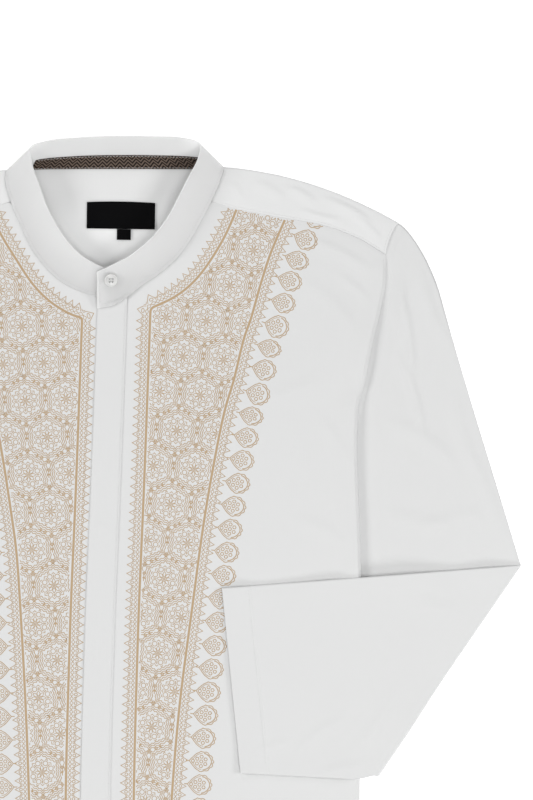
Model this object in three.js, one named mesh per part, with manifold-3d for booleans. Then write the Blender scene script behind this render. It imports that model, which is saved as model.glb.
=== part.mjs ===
// A koko shirt: a long-sleeved cotton shirt with a stand collar and a placket that covers its buttons,
// laid face up on a flat surface with both sleeves folded in at the elbow.
// Millimetres. +X runs across to the wearer's left, +Y up to the collar, +Z up from the surface.
// Every layer of cloth is a wall. Lengths below are measured from the middle of the neck, at the height
// where the shoulders meet the collar; the finished group is moved so that its box is centred on the origin.

import * as THREE from "three";
import { mergeVertices } from "three/addons/utils/BufferGeometryUtils.js";
import Module from "manifold-3d";

// ---------------------------------------------------------------- driving dimensions

const CLOTH = 1; // wall of one layer of cloth
const LAYER_GAP = 0.5; // air between two layers that lie on each other
const SEAM_GAP = 0.3; // joint between two sewn pieces
const PAIR = 2 * CLOTH + LAYER_GAP; // height of two layers, such as a flat sleeve
const LIFT = PAIR + LAYER_GAP; // how far a flat sleeve raises what lies on it
const FRONT_LEVEL = CLOTH + LAYER_GAP; // underside of the upper layer

const HEM_Y = -738; // the hem, 739 mm below the neck point of the shoulder
const YOKE_BACK_Y = -95; // seam between the yoke and the back
const SHOULDER_FALL = 0.21; // share of the shoulder's drop that is straight; the rest is rounded

// Half outline from the shoulder tip down the armhole seam, then down the side to the hem.
const OUTLINE = [
  { y: -46.8, x: 245 },
  { y: -53, x: 241.2 },
  { y: -61, x: 237.6 },
  { y: -74, x: 234.6 },
  { y: -95, x: 234.5 },
  { y: -117, x: 231 },
  { y: -145, x: 224.2 },
  { y: -182, x: 216.5 },
  { y: -209, x: 210.5 },
  { y: -240, x: 209.6 },
  { y: -290, x: 211.2 },
  { y: -350, x: 213.2 },
  { y: -450, x: 212.6 },
  { y: -545, x: 212 },
  { y: HEM_Y, x: 214 },
];
const SHOULDER_TIP = OUTLINE[0];
const SLEEVE_GOES_UNDER = OUTLINE[7]; // where the armhole seam turns under the side of the body
const ARMHOLE_ROWS = 7; // stretches of the outline between those two

// Front yoke seam, from the neck seam out to the armhole seam.
const YOKE_SEAM = [
  { x: 84.3, y: -28.4 },
  { x: 106, y: -34.8 },
  { x: 149, y: -43 },
  { x: 179, y: -48.4 },
  { x: 211, y: -60 },
  { x: 234.6, y: -74 },
];

// Stand collar, one row for each section, from the end that lies under to the end that lies over.
// seam is its lower edge and top its upper edge, seen from above; foot and head are their heights.
const COLLAR = [
  { seamX: 7, seamY: -115.5, topX: 7, topY: -92, foot: 1.9, head: 8.5 },
  { seamX: -4, seamY: -113.5, topX: -3, topY: -87.8, foot: 1.9, head: 11.5 },
  { seamX: -15.9, seamY: -109.2, topX: -13, topY: -83.6, foot: 2, head: 14.5 },
  { seamX: -25.8, seamY: -106.4, topX: -19, topY: -80.3, foot: 2, head: 17 },
  { seamX: -40.4, seamY: -99.8, topX: -27.5, topY: -74.7, foot: 2, head: 19 },
  { seamX: -54.2, seamY: -88.9, topX: -38, topY: -63.8, foot: 2, head: 20 },
  { seamX: -68.8, seamY: -70.5, topX: -47.3, topY: -50.4, foot: 2, head: 20 },
  { seamX: -79.5, seamY: -48, topX: -56.3, topY: -33, foot: 2, head: 20 },
  { seamX: -87.8, seamY: -28.4, topX: -62.5, topY: -15.5, foot: 2, head: 20 },
  { seamX: -92.3, seamY: -10.5, topX: -69, topY: 3.5, foot: 1.8, head: 20 },
  { seamX: -90.5, seamY: -1.4, topX: -69.4, topY: 17.5, foot: 1.5, head: 20 },
  { seamX: -70, seamY: 1, topX: -56, topY: 22.3, foot: 1.1, head: 21 },
  { seamX: -35, seamY: 1.6, topX: -28, topY: 25.2, foot: 1.1, head: 21.5 },
  { seamX: 4, seamY: 1.7, topX: 3, topY: 26.3, foot: 1.1, head: 22 },
  { seamX: 45, seamY: 1.6, topX: 35, topY: 26, foot: 1.1, head: 21.5 },
  { seamX: 78, seamY: 1.5, topX: 60, topY: 25, foot: 1.1, head: 21 },
  { seamX: 94.6, seamY: 0.9, topX: 74.2, topY: 20.3, foot: 1.4, head: 20 },
  { seamX: 92.3, seamY: -9.5, topX: 73.6, topY: 8.5, foot: 1.8, head: 20 },
  { seamX: 84.3, seamY: -28.4, topX: 64.3, topY: -10, foot: 2, head: 20 },
  { seamX: 74.6, seamY: -46.8, topX: 55.6, topY: -27, foot: 2, head: 20 },
  { seamX: 65, seamY: -63.5, topX: 48, topY: -41.5, foot: 2, head: 20 },
  { seamX: 54.5, seamY: -77.4, topX: 39.4, topY: -53.4, foot: 2, head: 20 },
  { seamX: 41, seamY: -89.4, topX: 28.9, topY: -64.5, foot: 2, head: 19.5 },
  { seamX: 24.1, seamY: -101, topX: 14.6, topY: -75.7, foot: 2.3, head: 18.5 },
  { seamX: 12.5, seamY: -110, topX: 5.5, topY: -80.6, foot: 3.3, head: 17 },
  { seamX: 0, seamY: -117.8, topX: -4.5, topY: -85.6, foot: 4, head: 15.5 },
  { seamX: -13.5, seamY: -120.5, topX: -13.4, topY: -89.4, foot: 4, head: 15 },
];
// Rows of that table where the pieces around the neck meet.
const ROW = { yokeRight: 8, neckRight: 10, neckLeft: 16, yokeLeft: 18, placketLeft: 24, end: 26 };
const COLLAR_WALL = 1.2;
const COLLAR_INSET = 1.1; // from the panels' neck edge to the collar's lower edge
const COLLAR_CELLS = 2; // cells of the band for each row of the table

// Middle of the placket, which leans as it goes down.
const PLACKET_MIDDLE = [
  { y: -100, x: 0 },
  { y: -270, x: -6.2 },
  { y: -400, x: -11.5 },
  { y: -545, x: -15.2 },
  { y: HEM_Y, x: -17 },
];
const PLACKET_HALF = 12.6;
const FRONT_EDGE = { right: 9, left: 9.8 }; // the fronts' edges under the placket, from its middle

// A sleeve folded flat. The fold and the opening are given as they lie, on the wearer's left side.
const ELBOW = { x: 350.9, y: -342.3 }; // outer end of the fold
const FOLD_END = { x: 224.5, y: -526.3 }; // inner end of the fold
const OPENING = { topX: 93.7, topY: -361.2, endX: 109.7, endY: -520.3 };
const UNDERARM = { x: 113, y: -263 }; // under the body
const UNDERARM_BEND = { x: 206, y: -256 }; // pulls the hidden part of the armhole seam down
const SLEEVE_BULGE = [
  { along: 0, out: 0 },
  { along: 0.03, out: 4.6 },
  { along: 0.08, out: 9.3 },
  { along: 0.13, out: 11.9 },
  { along: 0.2, out: 13.2 },
  { along: 0.27, out: 11.9 },
  { along: 0.38, out: 9.5 },
  { along: 0.55, out: 6.6 },
  { along: 0.8, out: 3 },
  { along: 1, out: 0 },
];
const ARMHOLE_JOINT = 0.4; // from the body's armhole edge to the sleeve
const FOLD_CORNER = { inset: 5, reach: 9 }; // rounds the inner end of the fold
const FOLD_STEPS = 5;
const FOLD_AXIS = PAIR + LAYER_GAP / 2; // height of the axis the sleeve is folded about
const SWING = { left: 0, right: 2.5 }; // degrees that a sleeve is turned out about the shoulder tip
const RAMP = { margin: 18, length: 72, foldLength: 28 }; // how softly a raised layer comes down
const FOLD_RISE = { from: 0.5, to: 0.82 }; // along the fold, where it rises to the height of the body's side

// Trims.
const TAPE = { from: 0.02, to: 0.47, firstRow: 11, lastRow: 15.5 };
const LABEL = { x: 6.8, y: -41, width: 58.5, height: 22.5, turn: -0.8 };
const SIZE_TAB = { x: 9.3, y: -57.2, width: 11.8, height: 9, turn: -0.8 };
const BUTTON = { row: 24.87, up: 0.65, radius: 6, thickness: 2.4, dish: 0.7, rim: 1.3 };
const BUTTON_HOLES = { radius: 0.9, ring: 1.7, count: 4, sides: 8 };
const BUTTON_SIDES = 24;

const COLOURS = { cotton: 0xf4f4f2, tape: 0x4a3f3a, label: 0x16161a, pearl: 0xf3efe6 };

// ---------------------------------------------------------------- curves and patches

const xy = (p) => new THREE.Vector2(p.x, p.y);
const mix = (a, b, t) => a + (b - a) * t;
const ease = (t) => THREE.MathUtils.smoothstep(t, 0, 1);

// The value of one column of a table at a place in another, straight between rows.
function lookUp(table, key, at, value) {
  const rising = table[1][key] > table[0][key];
  let i = 1;
  while (i < table.length - 1 && (rising ? table[i][key] < at : table[i][key] > at)) i++;
  const [a, b] = [table[i - 1], table[i]];
  return mix(a[value], b[value], (at - a[key]) / (b[key] - a[key]));
}

const line = (a, b) => (t) => a.clone().lerp(b, t);

// The point at (u, v) of a four-sided piece spanned by its four edges.
function patch(top, bottom, left, right) {
  const [a, b, c, d] = [top(0), top(1), bottom(0), bottom(1)];
  return (u, v) =>
    top(u)
      .multiplyScalar(1 - v)
      .addScaledVector(bottom(u), v)
      .addScaledVector(left(v), 1 - u)
      .addScaledVector(right(v), u)
      .addScaledVector(a, -(1 - u) * (1 - v))
      .addScaledVector(b, -u * (1 - v))
      .addScaledVector(c, -(1 - u) * v)
      .addScaledVector(d, -u * v);
}

const steps = (count, from = 0, to = 1) =>
  Array.from({ length: count + 1 }, (_, i) => mix(from, to, i / count));

// A function of t from 0 to 1 that runs straight through evenly spaced values.
function through(values) {
  return (t) => {
    const at = t * (values.length - 1);
    const i = Math.min(Math.floor(at), values.length - 2);
    return mix(values[i], values[i + 1], at - i);
  };
}

// ---------------------------------------------------------------- walls

// A closed wall over a grid of cells. face(i, j, side) gives its two faces, side 0 and side 1. Cells that
// has(i, j) leaves out are open, and every free edge is closed by a strip across the wall's thickness.
function wall(columns, rows, face, { around = false, has = () => true } = {}) {
  const wide = around ? columns : columns + 1;
  const at = (i, j, side) => (side * (rows + 1) + j) * wide + (i % wide);
  const points = [];
  for (const side of [0, 1])
    for (let j = 0; j <= rows; j++)
      for (let i = 0; i < wide; i++) points.push(...face(i, j, side).toArray());

  const there = (i, j) => {
    const column = around ? (i + columns) % columns : i;
    return j >= 0 && j < rows && column >= 0 && column < columns && has(column, j);
  };
  const faces = [];
  const quad = (a, b, c, d) => faces.push(a, b, c, a, c, d);
  for (let j = 0; j < rows; j++)
    for (let i = 0; i < columns; i++) {
      if (!there(i, j)) continue;
      const corner = [[i, j], [i + 1, j], [i + 1, j + 1], [i, j + 1]];
      const outer = corner.map(([a, b]) => at(a, b, 0));
      const inner = corner.map(([a, b]) => at(a, b, 1));
      quad(...outer);
      quad(...inner.slice().reverse());
      const beyond = [[i, j - 1], [i + 1, j], [i, j + 1], [i - 1, j]];
      beyond.forEach(([a, b], k) => {
        const next = (k + 1) % 4;
        if (!there(a, b)) quad(outer[next], outer[k], inner[k], inner[next]);
      });
    }
  return closed(points, faces);
}

// Geometry from points and triangles, with unused points dropped and its faces turned to point out.
function closed(points, faces) {
  const vertex = (i) => new THREE.Vector3().fromArray(points, 3 * i);
  let volume = 0;
  for (let k = 0; k < faces.length; k += 3) {
    const [a, b, c] = [vertex(faces[k]), vertex(faces[k + 1]), vertex(faces[k + 2])];
    volume += a.dot(b.cross(c));
  }
  if (volume < 0) faces.reverse();
  const flat = faces.flatMap((i) => points.slice(3 * i, 3 * i + 3));
  const geometry = new THREE.BufferGeometry();
  geometry.setAttribute("position", new THREE.Float32BufferAttribute(flat, 3));
  geometry.computeVertexNormals();
  return geometry;
}

// A wall of one layer of cloth, level but for what it lies on: plan(i, j) is a point seen from above,
// level the height of its underside and raised(p) how far the cloth is lifted there.
function layer(columns, rows, plan, level, raised = () => 0, thickness = CLOTH) {
  return wall(columns, rows, (i, j, side) => {
    const p = plan(i, j);
    return new THREE.Vector3(p.x, p.y, level + raised(p) + side * thickness);
  });
}

// ---------------------------------------------------------------- the sleeves' lie

// Everything about one sleeve, worked out on the wearer's left side; the other one is mirrored.
function sleevePlan(swing) {
  const pivot = xy(SHOULDER_TIP);
  const turned = (x, y) =>
    new THREE.Vector2(x, y).rotateAround(pivot, THREE.MathUtils.degToRad(swing));
  const elbow = turned(ELBOW.x, ELBOW.y);
  const foldEnd = turned(FOLD_END.x, FOLD_END.y);
  const underarm = turned(UNDERARM.x, UNDERARM.y);
  const bend = turned(UNDERARM_BEND.x, UNDERARM_BEND.y);

  const along = foldEnd.clone().sub(elbow).normalize(); // the fold, from the elbow inwards
  const out = new THREE.Vector2(-along.y, along.x); // across the fold, away from the shoulder
  const axis = elbow.clone().addScaledVector(out, -FOLD_AXIS);
  const slack = Math.PI * (FOLD_AXIS - PAIR / 2); // cloth taken up by the turn of the fold
  const beyond = (p) => p.clone().sub(axis).dot(out);
  const unfolded = (p) => p.clone().addScaledVector(out, slack - 2 * beyond(p));

  const run = elbow.clone().sub(pivot).normalize(); // down the sleeve
  const side = new THREE.Vector2(-run.y, run.x); // across it, away from the body
  const reach = 1 / run.dot(out);
  const foldStart = elbow.clone().addScaledVector(run, -FOLD_AXIS * reach);
  const foldStop = foldStart
    .clone()
    .addScaledVector(along, foldEnd.distanceTo(elbow));

  const joint = SLEEVE_GOES_UNDER;
  const hidden = new THREE.QuadraticBezierCurve(xy(joint), bend, underarm);
  return {
    underarm, foldStart, foldStop, out, along, axis, slack, run, side, reach, hidden, beyond,
    openingTop: unfolded(turned(OPENING.topX, OPENING.topY)),
    openingEnd: unfolded(turned(OPENING.endX, OPENING.endY)),
    straightX: (y) => mix(underarm.x, foldStop.x, (y - underarm.y) / (foldStop.y - underarm.y)),
  };
}

const SLEEVES = { left: sleevePlan(SWING.left), right: sleevePlan(SWING.right) };

// Where the body covers a sleeve: a triangle from the turn of the armhole seam to the underarm, and
// down to where the sleeve's inner edge comes out at the side.
function covered(sleeve) {
  let y = SLEEVE_GOES_UNDER.y;
  while (y > HEM_Y && sleeve.straightX(y) < lookUp(OUTLINE, "y", y, "x")) y -= 1;
  const exit = new THREE.Vector2(lookUp(OUTLINE, "y", y, "x"), y);
  return [xy(SLEEVE_GOES_UNDER), sleeve.underarm, exit];
}

function distanceTo(corners, p) {
  const spots = corners.map((a, k) => {
    const b = corners[(k + 1) % corners.length];
    const way = b.clone().sub(a);
    const t = THREE.MathUtils.clamp(p.clone().sub(a).dot(way) / way.lengthSq(), 0, 1);
    return { gap: a.clone().addScaledVector(way, t).distanceTo(p), turn: way.cross(p.clone().sub(a)) };
  });
  const inside = spots.every((s) => s.turn >= 0) || spots.every((s) => s.turn <= 0);
  return inside ? 0 : Math.min(...spots.map((s) => s.gap));
}

const COVERED = { left: covered(SLEEVES.left), right: covered(SLEEVES.right) };

// How far the sleeve under it raises the body at a point.
function bodyLift(p) {
  const corners = p.x > 0 ? COVERED.left : COVERED.right;
  const gap = distanceTo(corners, new THREE.Vector2(Math.abs(p.x), p.y));
  return LIFT * ease(1 - Math.max(0, gap - RAMP.margin) / RAMP.length);
}

// ---------------------------------------------------------------- the body

const collarSeam = new THREE.CatmullRomCurve3(
  COLLAR.map((r) => new THREE.Vector3(r.seamX, r.seamY, r.foot)),
);
const collarTop = new THREE.CatmullRomCurve3(
  COLLAR.map((r) => new THREE.Vector3(r.topX, r.topY, r.head)),
);
const neckPoint = (row) => xy(collarSeam.getPoint(row / ROW.end));
const neckEdge = (from, to) => (t) => neckPoint(mix(from, to, t));
const middleX = (y) => lookUp(PLACKET_MIDDLE, "y", y, "x");
const outlineX = (y) => lookUp(OUTLINE, "y", y, "x");

// The shoulder line on one side (1 for the wearer's left, -1 for the right), from the neck out.
function shoulder(sign) {
  const from = neckPoint(sign > 0 ? ROW.neckLeft : ROW.neckRight);
  const to = new THREE.Vector2(sign * SHOULDER_TIP.x, SHOULDER_TIP.y);
  return (t) =>
    new THREE.Vector2(
      mix(from.x, to.x, t),
      mix(from.y, to.y, SHOULDER_FALL * t + (1 - SHOULDER_FALL) * t * t),
    );
}

// Rows of a body panel: heights on its side edge, closer together where the sleeve raises it.
function panelRows(topY) {
  const rows = [topY];
  const knots = OUTLINE.map((r) => r.y).filter((y) => y < topY);
  let last = topY;
  for (const y of knots) {
    const coarse = y < OUTLINE[OUTLINE.length - 2].y;
    const count = Math.ceil((last - y) / (coarse ? 65 : 27));
    for (let k = 1; k <= count; k++) rows.push(mix(last, y, k / count));
    last = y;
  }
  return rows;
}

const BACK_COLUMNS = 18;

function back() {
  const heights = panelRows(YOKE_BACK_Y - SEAM_GAP);
  const plan = (i, j) => {
    const half = outlineX(heights[j]);
    return new THREE.Vector2(mix(-half, half, i / BACK_COLUMNS), heights[j]);
  };
  return layer(BACK_COLUMNS, heights.length - 1, plan, 0, bodyLift);
}

const SHOULDER_CELLS = 7; // cells along each shoulder and yoke seam

// A front: its upper edge follows the neck seam, then the yoke seam.
function front(sign) {
  const [fromRow, toRow] = sign > 0 ? [ROW.placketLeft, ROW.yokeLeft] : [0, ROW.yokeRight];
  const heights = panelRows(OUTLINE[3].y - SEAM_GAP);
  const neckCells = Math.abs(toRow - fromRow);
  const columns = neckCells + SHOULDER_CELLS;
  const split = neckCells / columns;
  const neck = neckEdge(fromRow, toRow);
  const seamStart = neck(1);
  const seamX = (t) => mix(Math.abs(seamStart.x), OUTLINE[3].x, t);
  const seam = (t) => {
    const x = seamX(t);
    return new THREE.Vector2(sign * x, lookUp(YOKE_SEAM, "x", x, "y") - SEAM_GAP);
  };
  const top = (u) => (u < split - 1e-6 ? neck(u / split) : seam((u - split) / (1 - split)));
  const first = heights[0];
  const span = HEM_Y - first;
  const start = neck(0);
  const offset = sign > 0 ? FRONT_EDGE.left : FRONT_EDGE.right;
  const inner = (v) => {
    const y = mix(start.y, HEM_Y, v);
    const settled = Math.min(1, v * 12); // the edge joins the placket's line just below the neck
    return new THREE.Vector2(mix(start.x, middleX(y) + offset, settled), y);
  };
  const outer = (v) => {
    const y = first + span * v;
    return new THREE.Vector2(sign * outlineX(y), y);
  };
  const piece = patch(top, line(inner(1), outer(1)), inner, outer);
  const plan = (i, j) => piece(i / columns, (heights[j] - first) / span);
  return layer(columns, heights.length - 1, plan, FRONT_LEVEL, bodyLift);
}

// The yoke: one piece from the back seam up to the shoulders, over them and down to the front seams.
function yoke() {
  const side = SHOULDER_CELLS;
  const middle = (ROW.neckLeft - ROW.neckRight) * COLLAR_CELLS; // columns across the back of the neck
  const columns = 2 * side + middle;
  const fold = PAIR / 2;
  const foldY = SHOULDER_TIP.y - fold;
  const [, upper, lower, seamEnd] = OUTLINE.map((r) => r.y);
  const backHeights = [YOKE_BACK_Y, mix(YOKE_BACK_Y, seamEnd, 0.5), seamEnd, lower, upper, foldY];
  const backRows = backHeights.map((y) => (y - YOKE_BACK_Y) / (foldY - YOKE_BACK_Y));
  const frontHeights = through([foldY, upper, mix(upper, lower, 0.5), lower, seamEnd]);
  const frontRows = steps(4);
  const turn = backRows.length - 1; // last row on the back, at the fold of the shoulder
  const rows = turn + 1 + frontRows.length;
  const neckBack = neckEdge(ROW.neckRight, ROW.neckLeft);
  const shoulders = { 1: shoulder(1), "-1": shoulder(-1) };

  const place = (i) => {
    if (i < side) return { sign: -1, t: 1 - i / side };
    if (i > side + middle) return { sign: 1, t: (i - side - middle) / side };
    return { sign: 0, t: (i - side) / middle };
  };
  const topEdge = (i) => {
    const { sign, t } = place(i);
    if (sign) return shoulders[sign](t);
    return neckBack(t);
  };
  const onShoulder = (i) => i <= side || i >= side + middle;
  const inset = (i) => (onShoulder(i) ? fold : 0);

  const backPoint = (i, v) => {
    const top = topEdge(i);
    const bottomX = (outlineX(YOKE_BACK_Y) / SHOULDER_TIP.x) * top.x;
    const y = mix(YOKE_BACK_Y, top.y - inset(i), v);
    if (i === 0 || i === columns) return new THREE.Vector2(Math.sign(top.x) * outlineX(y), y);
    return new THREE.Vector2(mix(bottomX, top.x, v), y);
  };
  const frontPatch = (sign) => {
    const [neckRow, seamRow] =
      sign > 0 ? [ROW.neckLeft, ROW.yokeLeft] : [ROW.neckRight, ROW.yokeRight];
    const top = (t) => shoulders[sign](t).add(new THREE.Vector2(0, -fold));
    const clear = new THREE.Vector2(sign * 2 * SEAM_GAP, -fold); // steps back from the collar's corner
    const neck = (v) => neckPoint(mix(neckRow, seamRow, v)).addScaledVector(clear, 1 - v);
    const end = neck(1);
    const bottom = (t) => {
      const x = mix(Math.abs(end.x), OUTLINE[3].x, t);
      return new THREE.Vector2(sign * x, lookUp(YOKE_SEAM, "x", x, "y"));
    };
    const out = (v) => {
      const y = frontHeights(v);
      return new THREE.Vector2(sign * outlineX(y), y);
    };
    return patch(top, bottom, neck, out);
  };
  const fronts = { 1: frontPatch(1), "-1": frontPatch(-1) };

  return wall(
    columns,
    rows,
    (i, j, sideOfWall) => {
      const near = sideOfWall ? CLOTH : 0; // distance in from the yoke's outer face
      if (j <= turn) {
        const p = backPoint(i, backRows[j]);
        return new THREE.Vector3(p.x, p.y, near);
      }
      const { sign, t } = place(i);
      const across = sign || (i <= side ? -1 : 1);
      const along = sign ? t : 0;
      if (j === turn + 1) {
        const p = shoulders[across](along);
        const x = along < 1 ? p.x : across * outlineX(p.y - near);
        return new THREE.Vector3(x, p.y - near, fold);
      }
      const p = fronts[across](along, frontRows[j - turn - 2]);
      return new THREE.Vector3(p.x, p.y, PAIR - near);
    },
    { has: (i, j) => j < turn || i < side || i >= side + middle },
  );
}

function placket() {
  const columns = 4;
  const first = neckPoint(ROW.end - 1).y;
  const heights = steps(14, 0, 1);
  const plan = (i, j) => {
    const across = mix(-PLACKET_HALF, PLACKET_HALF, i / columns);
    const dip = lookUp(
      COLLAR.slice(ROW.placketLeft),
      "seamX",
      THREE.MathUtils.clamp(across, COLLAR[ROW.end].seamX, COLLAR[ROW.placketLeft].seamX),
      "seamY",
    );
    const y = mix(Math.min(dip, first), HEM_Y, heights[j]);
    return new THREE.Vector2(middleX(y) + across, y);
  };
  return layer(columns, heights.length - 1, plan, PAIR + SEAM_GAP);
}

// ---------------------------------------------------------------- the collar and what is sewn to it

// Middle surface of the collar's band: row along the table, up from 0 at its seam to 1 at its top.
function band(row, up) {
  const low = collarSeam.getPoint(row / ROW.end);
  const high = collarTop.getPoint(row / ROW.end);
  const start = COLLAR_INSET / Math.hypot(high.x - low.x, high.y - low.y);
  return low.lerp(high, mix(start, 1, up));
}

// Unit normal of the band, away from the side that faces the neck.
function bandNormal(row, up) {
  const near = 0.05;
  const r = THREE.MathUtils.clamp(row, near, ROW.end - near);
  const along = band(r + near, up).sub(band(r - near, up));
  const rise = band(row, 1).sub(band(row, 0));
  return rise.cross(along).normalize();
}

function bandWall(firstRow, lastRow, low, high, cells, tiers, offset, thickness) {
  return wall(cells, tiers, (i, j, side) => {
    const row = mix(firstRow, lastRow, i / cells);
    const up = mix(low, high, j / tiers);
    return band(row, up).addScaledVector(bandNormal(row, up), offset + (side - 0.5) * thickness);
  });
}

const collar = () => bandWall(0, ROW.end, 0, 1, COLLAR_CELLS * ROW.end, 3, 0, COLLAR_WALL);

function neckTape() {
  const offset = -(COLLAR_WALL / 2 + SEAM_GAP + CLOTH / 2);
  const cells = COLLAR_CELLS * (TAPE.lastRow - TAPE.firstRow);
  return bandWall(TAPE.firstRow, TAPE.lastRow, TAPE.from, TAPE.to, cells, 2, offset, CLOTH);
}

function tag({ x, y, width, height, turn }) {
  const angle = THREE.MathUtils.degToRad(turn);
  const centre = new THREE.Vector2(x, y);
  const cells = Math.ceil(width / 10);
  const plan = (i, j) =>
    new THREE.Vector2(x + (i / cells - 0.5) * width, y + (j - 0.5) * height).rotateAround(centre, angle);
  return layer(cells, 1, plan, CLOTH + SEAM_GAP);
}

// ---------------------------------------------------------------- a folded sleeve

function sleeve(plan, sign) {
  const { foldStart, foldStop, underarm, openingTop, openingEnd, run, side, reach } = plan;
  const hiddenCells = 3;
  const across = ARMHOLE_ROWS + hiddenCells;
  const tip = xy(SHOULDER_TIP);
  const radius = PAIR / 2;

  // The armhole seam from the shoulder tip to the underarm; u counts cells across the sleeve.
  const armhole = (u) => {
    const cell = Math.min(u * across, across);
    if (cell <= ARMHOLE_ROWS) {
      const i = Math.min(Math.floor(cell), ARMHOLE_ROWS - 1);
      const p = xy(OUTLINE[i]).lerp(xy(OUTLINE[i + 1]), cell - i);
      return p.add(new THREE.Vector2(ARMHOLE_JOINT, 0));
    }
    const p = plan.hidden.getPoint((cell - ARMHOLE_ROWS) / hiddenCells);
    return p.add(new THREE.Vector2(ARMHOLE_JOINT, 0));
  };
  const outer = (w) => {
    const straight = tip.clone().lerp(foldStart, w);
    const bulge = lookUp(SLEEVE_BULGE, "along", w, "out");
    const joint = new THREE.Vector2(ARMHOLE_JOINT * (1 - w), 0);
    return straight.addScaledVector(side, bulge).add(joint);
  };
  const inner = (w) => armhole(1).lerp(foldStop, w);
  const upper = patch(armhole, line(foldStart, foldStop), outer, inner);

  // Rows down the sleeve, each a function of u that gives a point on the flat, unfolded sleeve.
  const shift = (past) => run.clone().multiplyScalar(past * reach);
  const rounded = (p, u, past) => {
    const pull = FOLD_CORNER.inset * u ** 12 * Math.exp(-((past / FOLD_CORNER.reach) ** 2));
    return p.addScaledVector(plan.along, -pull);
  };
  const upperRows = [0, 0.03, 0.08, 0.13, 0.2, 0.27, 0.38, 0.52, 0.66, 0.8, 0.95];
  const lowerRows = [0.04, 0.14, 0.25, 0.36, 0.47, 0.58, 0.69, 0.8, 0.9, 1];
  const foldLine = line(foldStart, foldStop);
  const openingLine = line(openingTop, openingEnd);
  const rows = [
    ...upperRows.map((w) => (u) => upper(u, w)),
    ...steps(FOLD_STEPS, 0, plan.slack).map(
      (past) => (u) => rounded(foldLine(u).add(shift(past)), u, past - plan.slack / 2),
    ),
    ...lowerRows.map((w) => (u) => foldLine(u).add(shift(plan.slack)).lerp(openingLine(u), w)),
  ];

  // Folds a point of the unfolded sleeve over at the elbow and lays it on what is there.
  const lie = (p, z) => {
    const past = plan.beyond(p);
    if (past <= 0) return new THREE.Vector3(p.x, p.y, z);
    const inwards = p.clone().sub(plan.axis).dot(plan.along) / foldStart.distanceTo(foldStop);
    const rise = LIFT * ease((inwards - FOLD_RISE.from) / (FOLD_RISE.to - FOLD_RISE.from));
    const axis = FOLD_AXIS + rise / 2;
    const arm = axis - z;
    if (past < plan.slack) {
      const angle = (Math.PI * past) / plan.slack;
      const q = p.clone().addScaledVector(plan.out, arm * Math.sin(angle) - past);
      return new THREE.Vector3(q.x, q.y, axis - arm * Math.cos(angle));
    }
    const q = p.clone().addScaledVector(plan.out, plan.slack - 2 * past);
    const fromFold = ease((past - plan.slack) / RAMP.foldLength);
    const lift = mix(rise, bodyLift(new THREE.Vector2(sign * q.x, q.y)), fromFold);
    return new THREE.Vector3(q.x, q.y, 2 * FOLD_AXIS - z + lift);
  };

  // One turn round the flat tube: out along the under layer, round the inner edge and back on top.
  const loop = [
    ...steps(across).map((u) => ({ u, bend: -90 })),
    { u: 1, bend: 0 },
    ...steps(across, 1, 0).map((u) => ({ u, bend: 90 })),
    { u: 0, bend: 0 },
  ];
  const nearEdge = 0.02;
  return wall(
    loop.length,
    rows.length - 1,
    (i, j, sideOfWall) => {
      const { u, bend } = loop[i % loop.length];
      const row = rows[j];
      const r = radius - sideOfWall * CLOTH;
      const p = row(u);
      if (u === 0 || u === 1) {
        const inside = u === 0 ? row(nearEdge) : row(1 - nearEdge);
        const outward = p.clone().sub(inside).normalize();
        p.addScaledVector(outward, r * Math.cos(THREE.MathUtils.degToRad(bend)) - radius);
      }
      const q = lie(p, radius + r * Math.sin(THREE.MathUtils.degToRad(bend)));
      return new THREE.Vector3(sign * q.x, q.y, q.z);
    },
    { around: true },
  );
}

// ---------------------------------------------------------------- the button

const wasm = await Module();
wasm.setup();

function solid(geometry) {
  const plain = geometry.index ? geometry.toNonIndexed() : geometry.clone();
  plain.deleteAttribute("normal");
  plain.deleteAttribute("uv");
  const merged = mergeVertices(plain, 1e-4);
  return new wasm.Manifold(
    new wasm.Mesh({
      numProp: 3,
      vertProperties: merged.attributes.position.array,
      triVerts: new Uint32Array(merged.index.array),
    }),
  );
}

function toGeometry(body) {
  const { numProp, vertProperties, triVerts } = body.getMesh();
  const flat = Array.from(triVerts).flatMap((i) =>
    Array.from(vertProperties.subarray(i * numProp, i * numProp + 3)),
  );
  const geometry = new THREE.BufferGeometry();
  geometry.setAttribute("position", new THREE.Float32BufferAttribute(flat, 3));
  geometry.computeVertexNormals();
  return geometry;
}

// A dished disc with a rounded rim and four holes, its back at height 0 and its face up.
function buttonGeometry() {
  const { radius, thickness, dish, rim } = BUTTON;
  const profile = [
    [0, 0],
    [radius - 1.1, 0],
    [radius - 0.3, 0.5],
    [radius, thickness / 2],
    [radius - 0.3, thickness - 0.25],
    [radius - rim / 2, thickness],
    [radius - rim, thickness - 0.15],
    [radius - rim - 0.8, thickness - dish],
    [0, thickness - dish],
  ].map(([r, z]) => new THREE.Vector2(r, z));
  let body = solid(new THREE.LatheGeometry(profile, BUTTON_SIDES).rotateX(Math.PI / 2));
  if (body.volume() < 0) throw new Error("the button's profile is inside out");
  const { radius: hole, ring, count, sides } = BUTTON_HOLES;
  for (let k = 0; k < count; k++) {
    const angle = ((k + 0.5) * 2 * Math.PI) / count;
    const drill = new THREE.CylinderGeometry(hole, hole, 3 * thickness, sides)
      .rotateX(Math.PI / 2)
      .translate(ring * Math.cos(angle), ring * Math.sin(angle), thickness / 2);
    body = body.subtract(solid(drill));
  }
  return toGeometry(body);
}

// ---------------------------------------------------------------- the shirt

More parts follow.
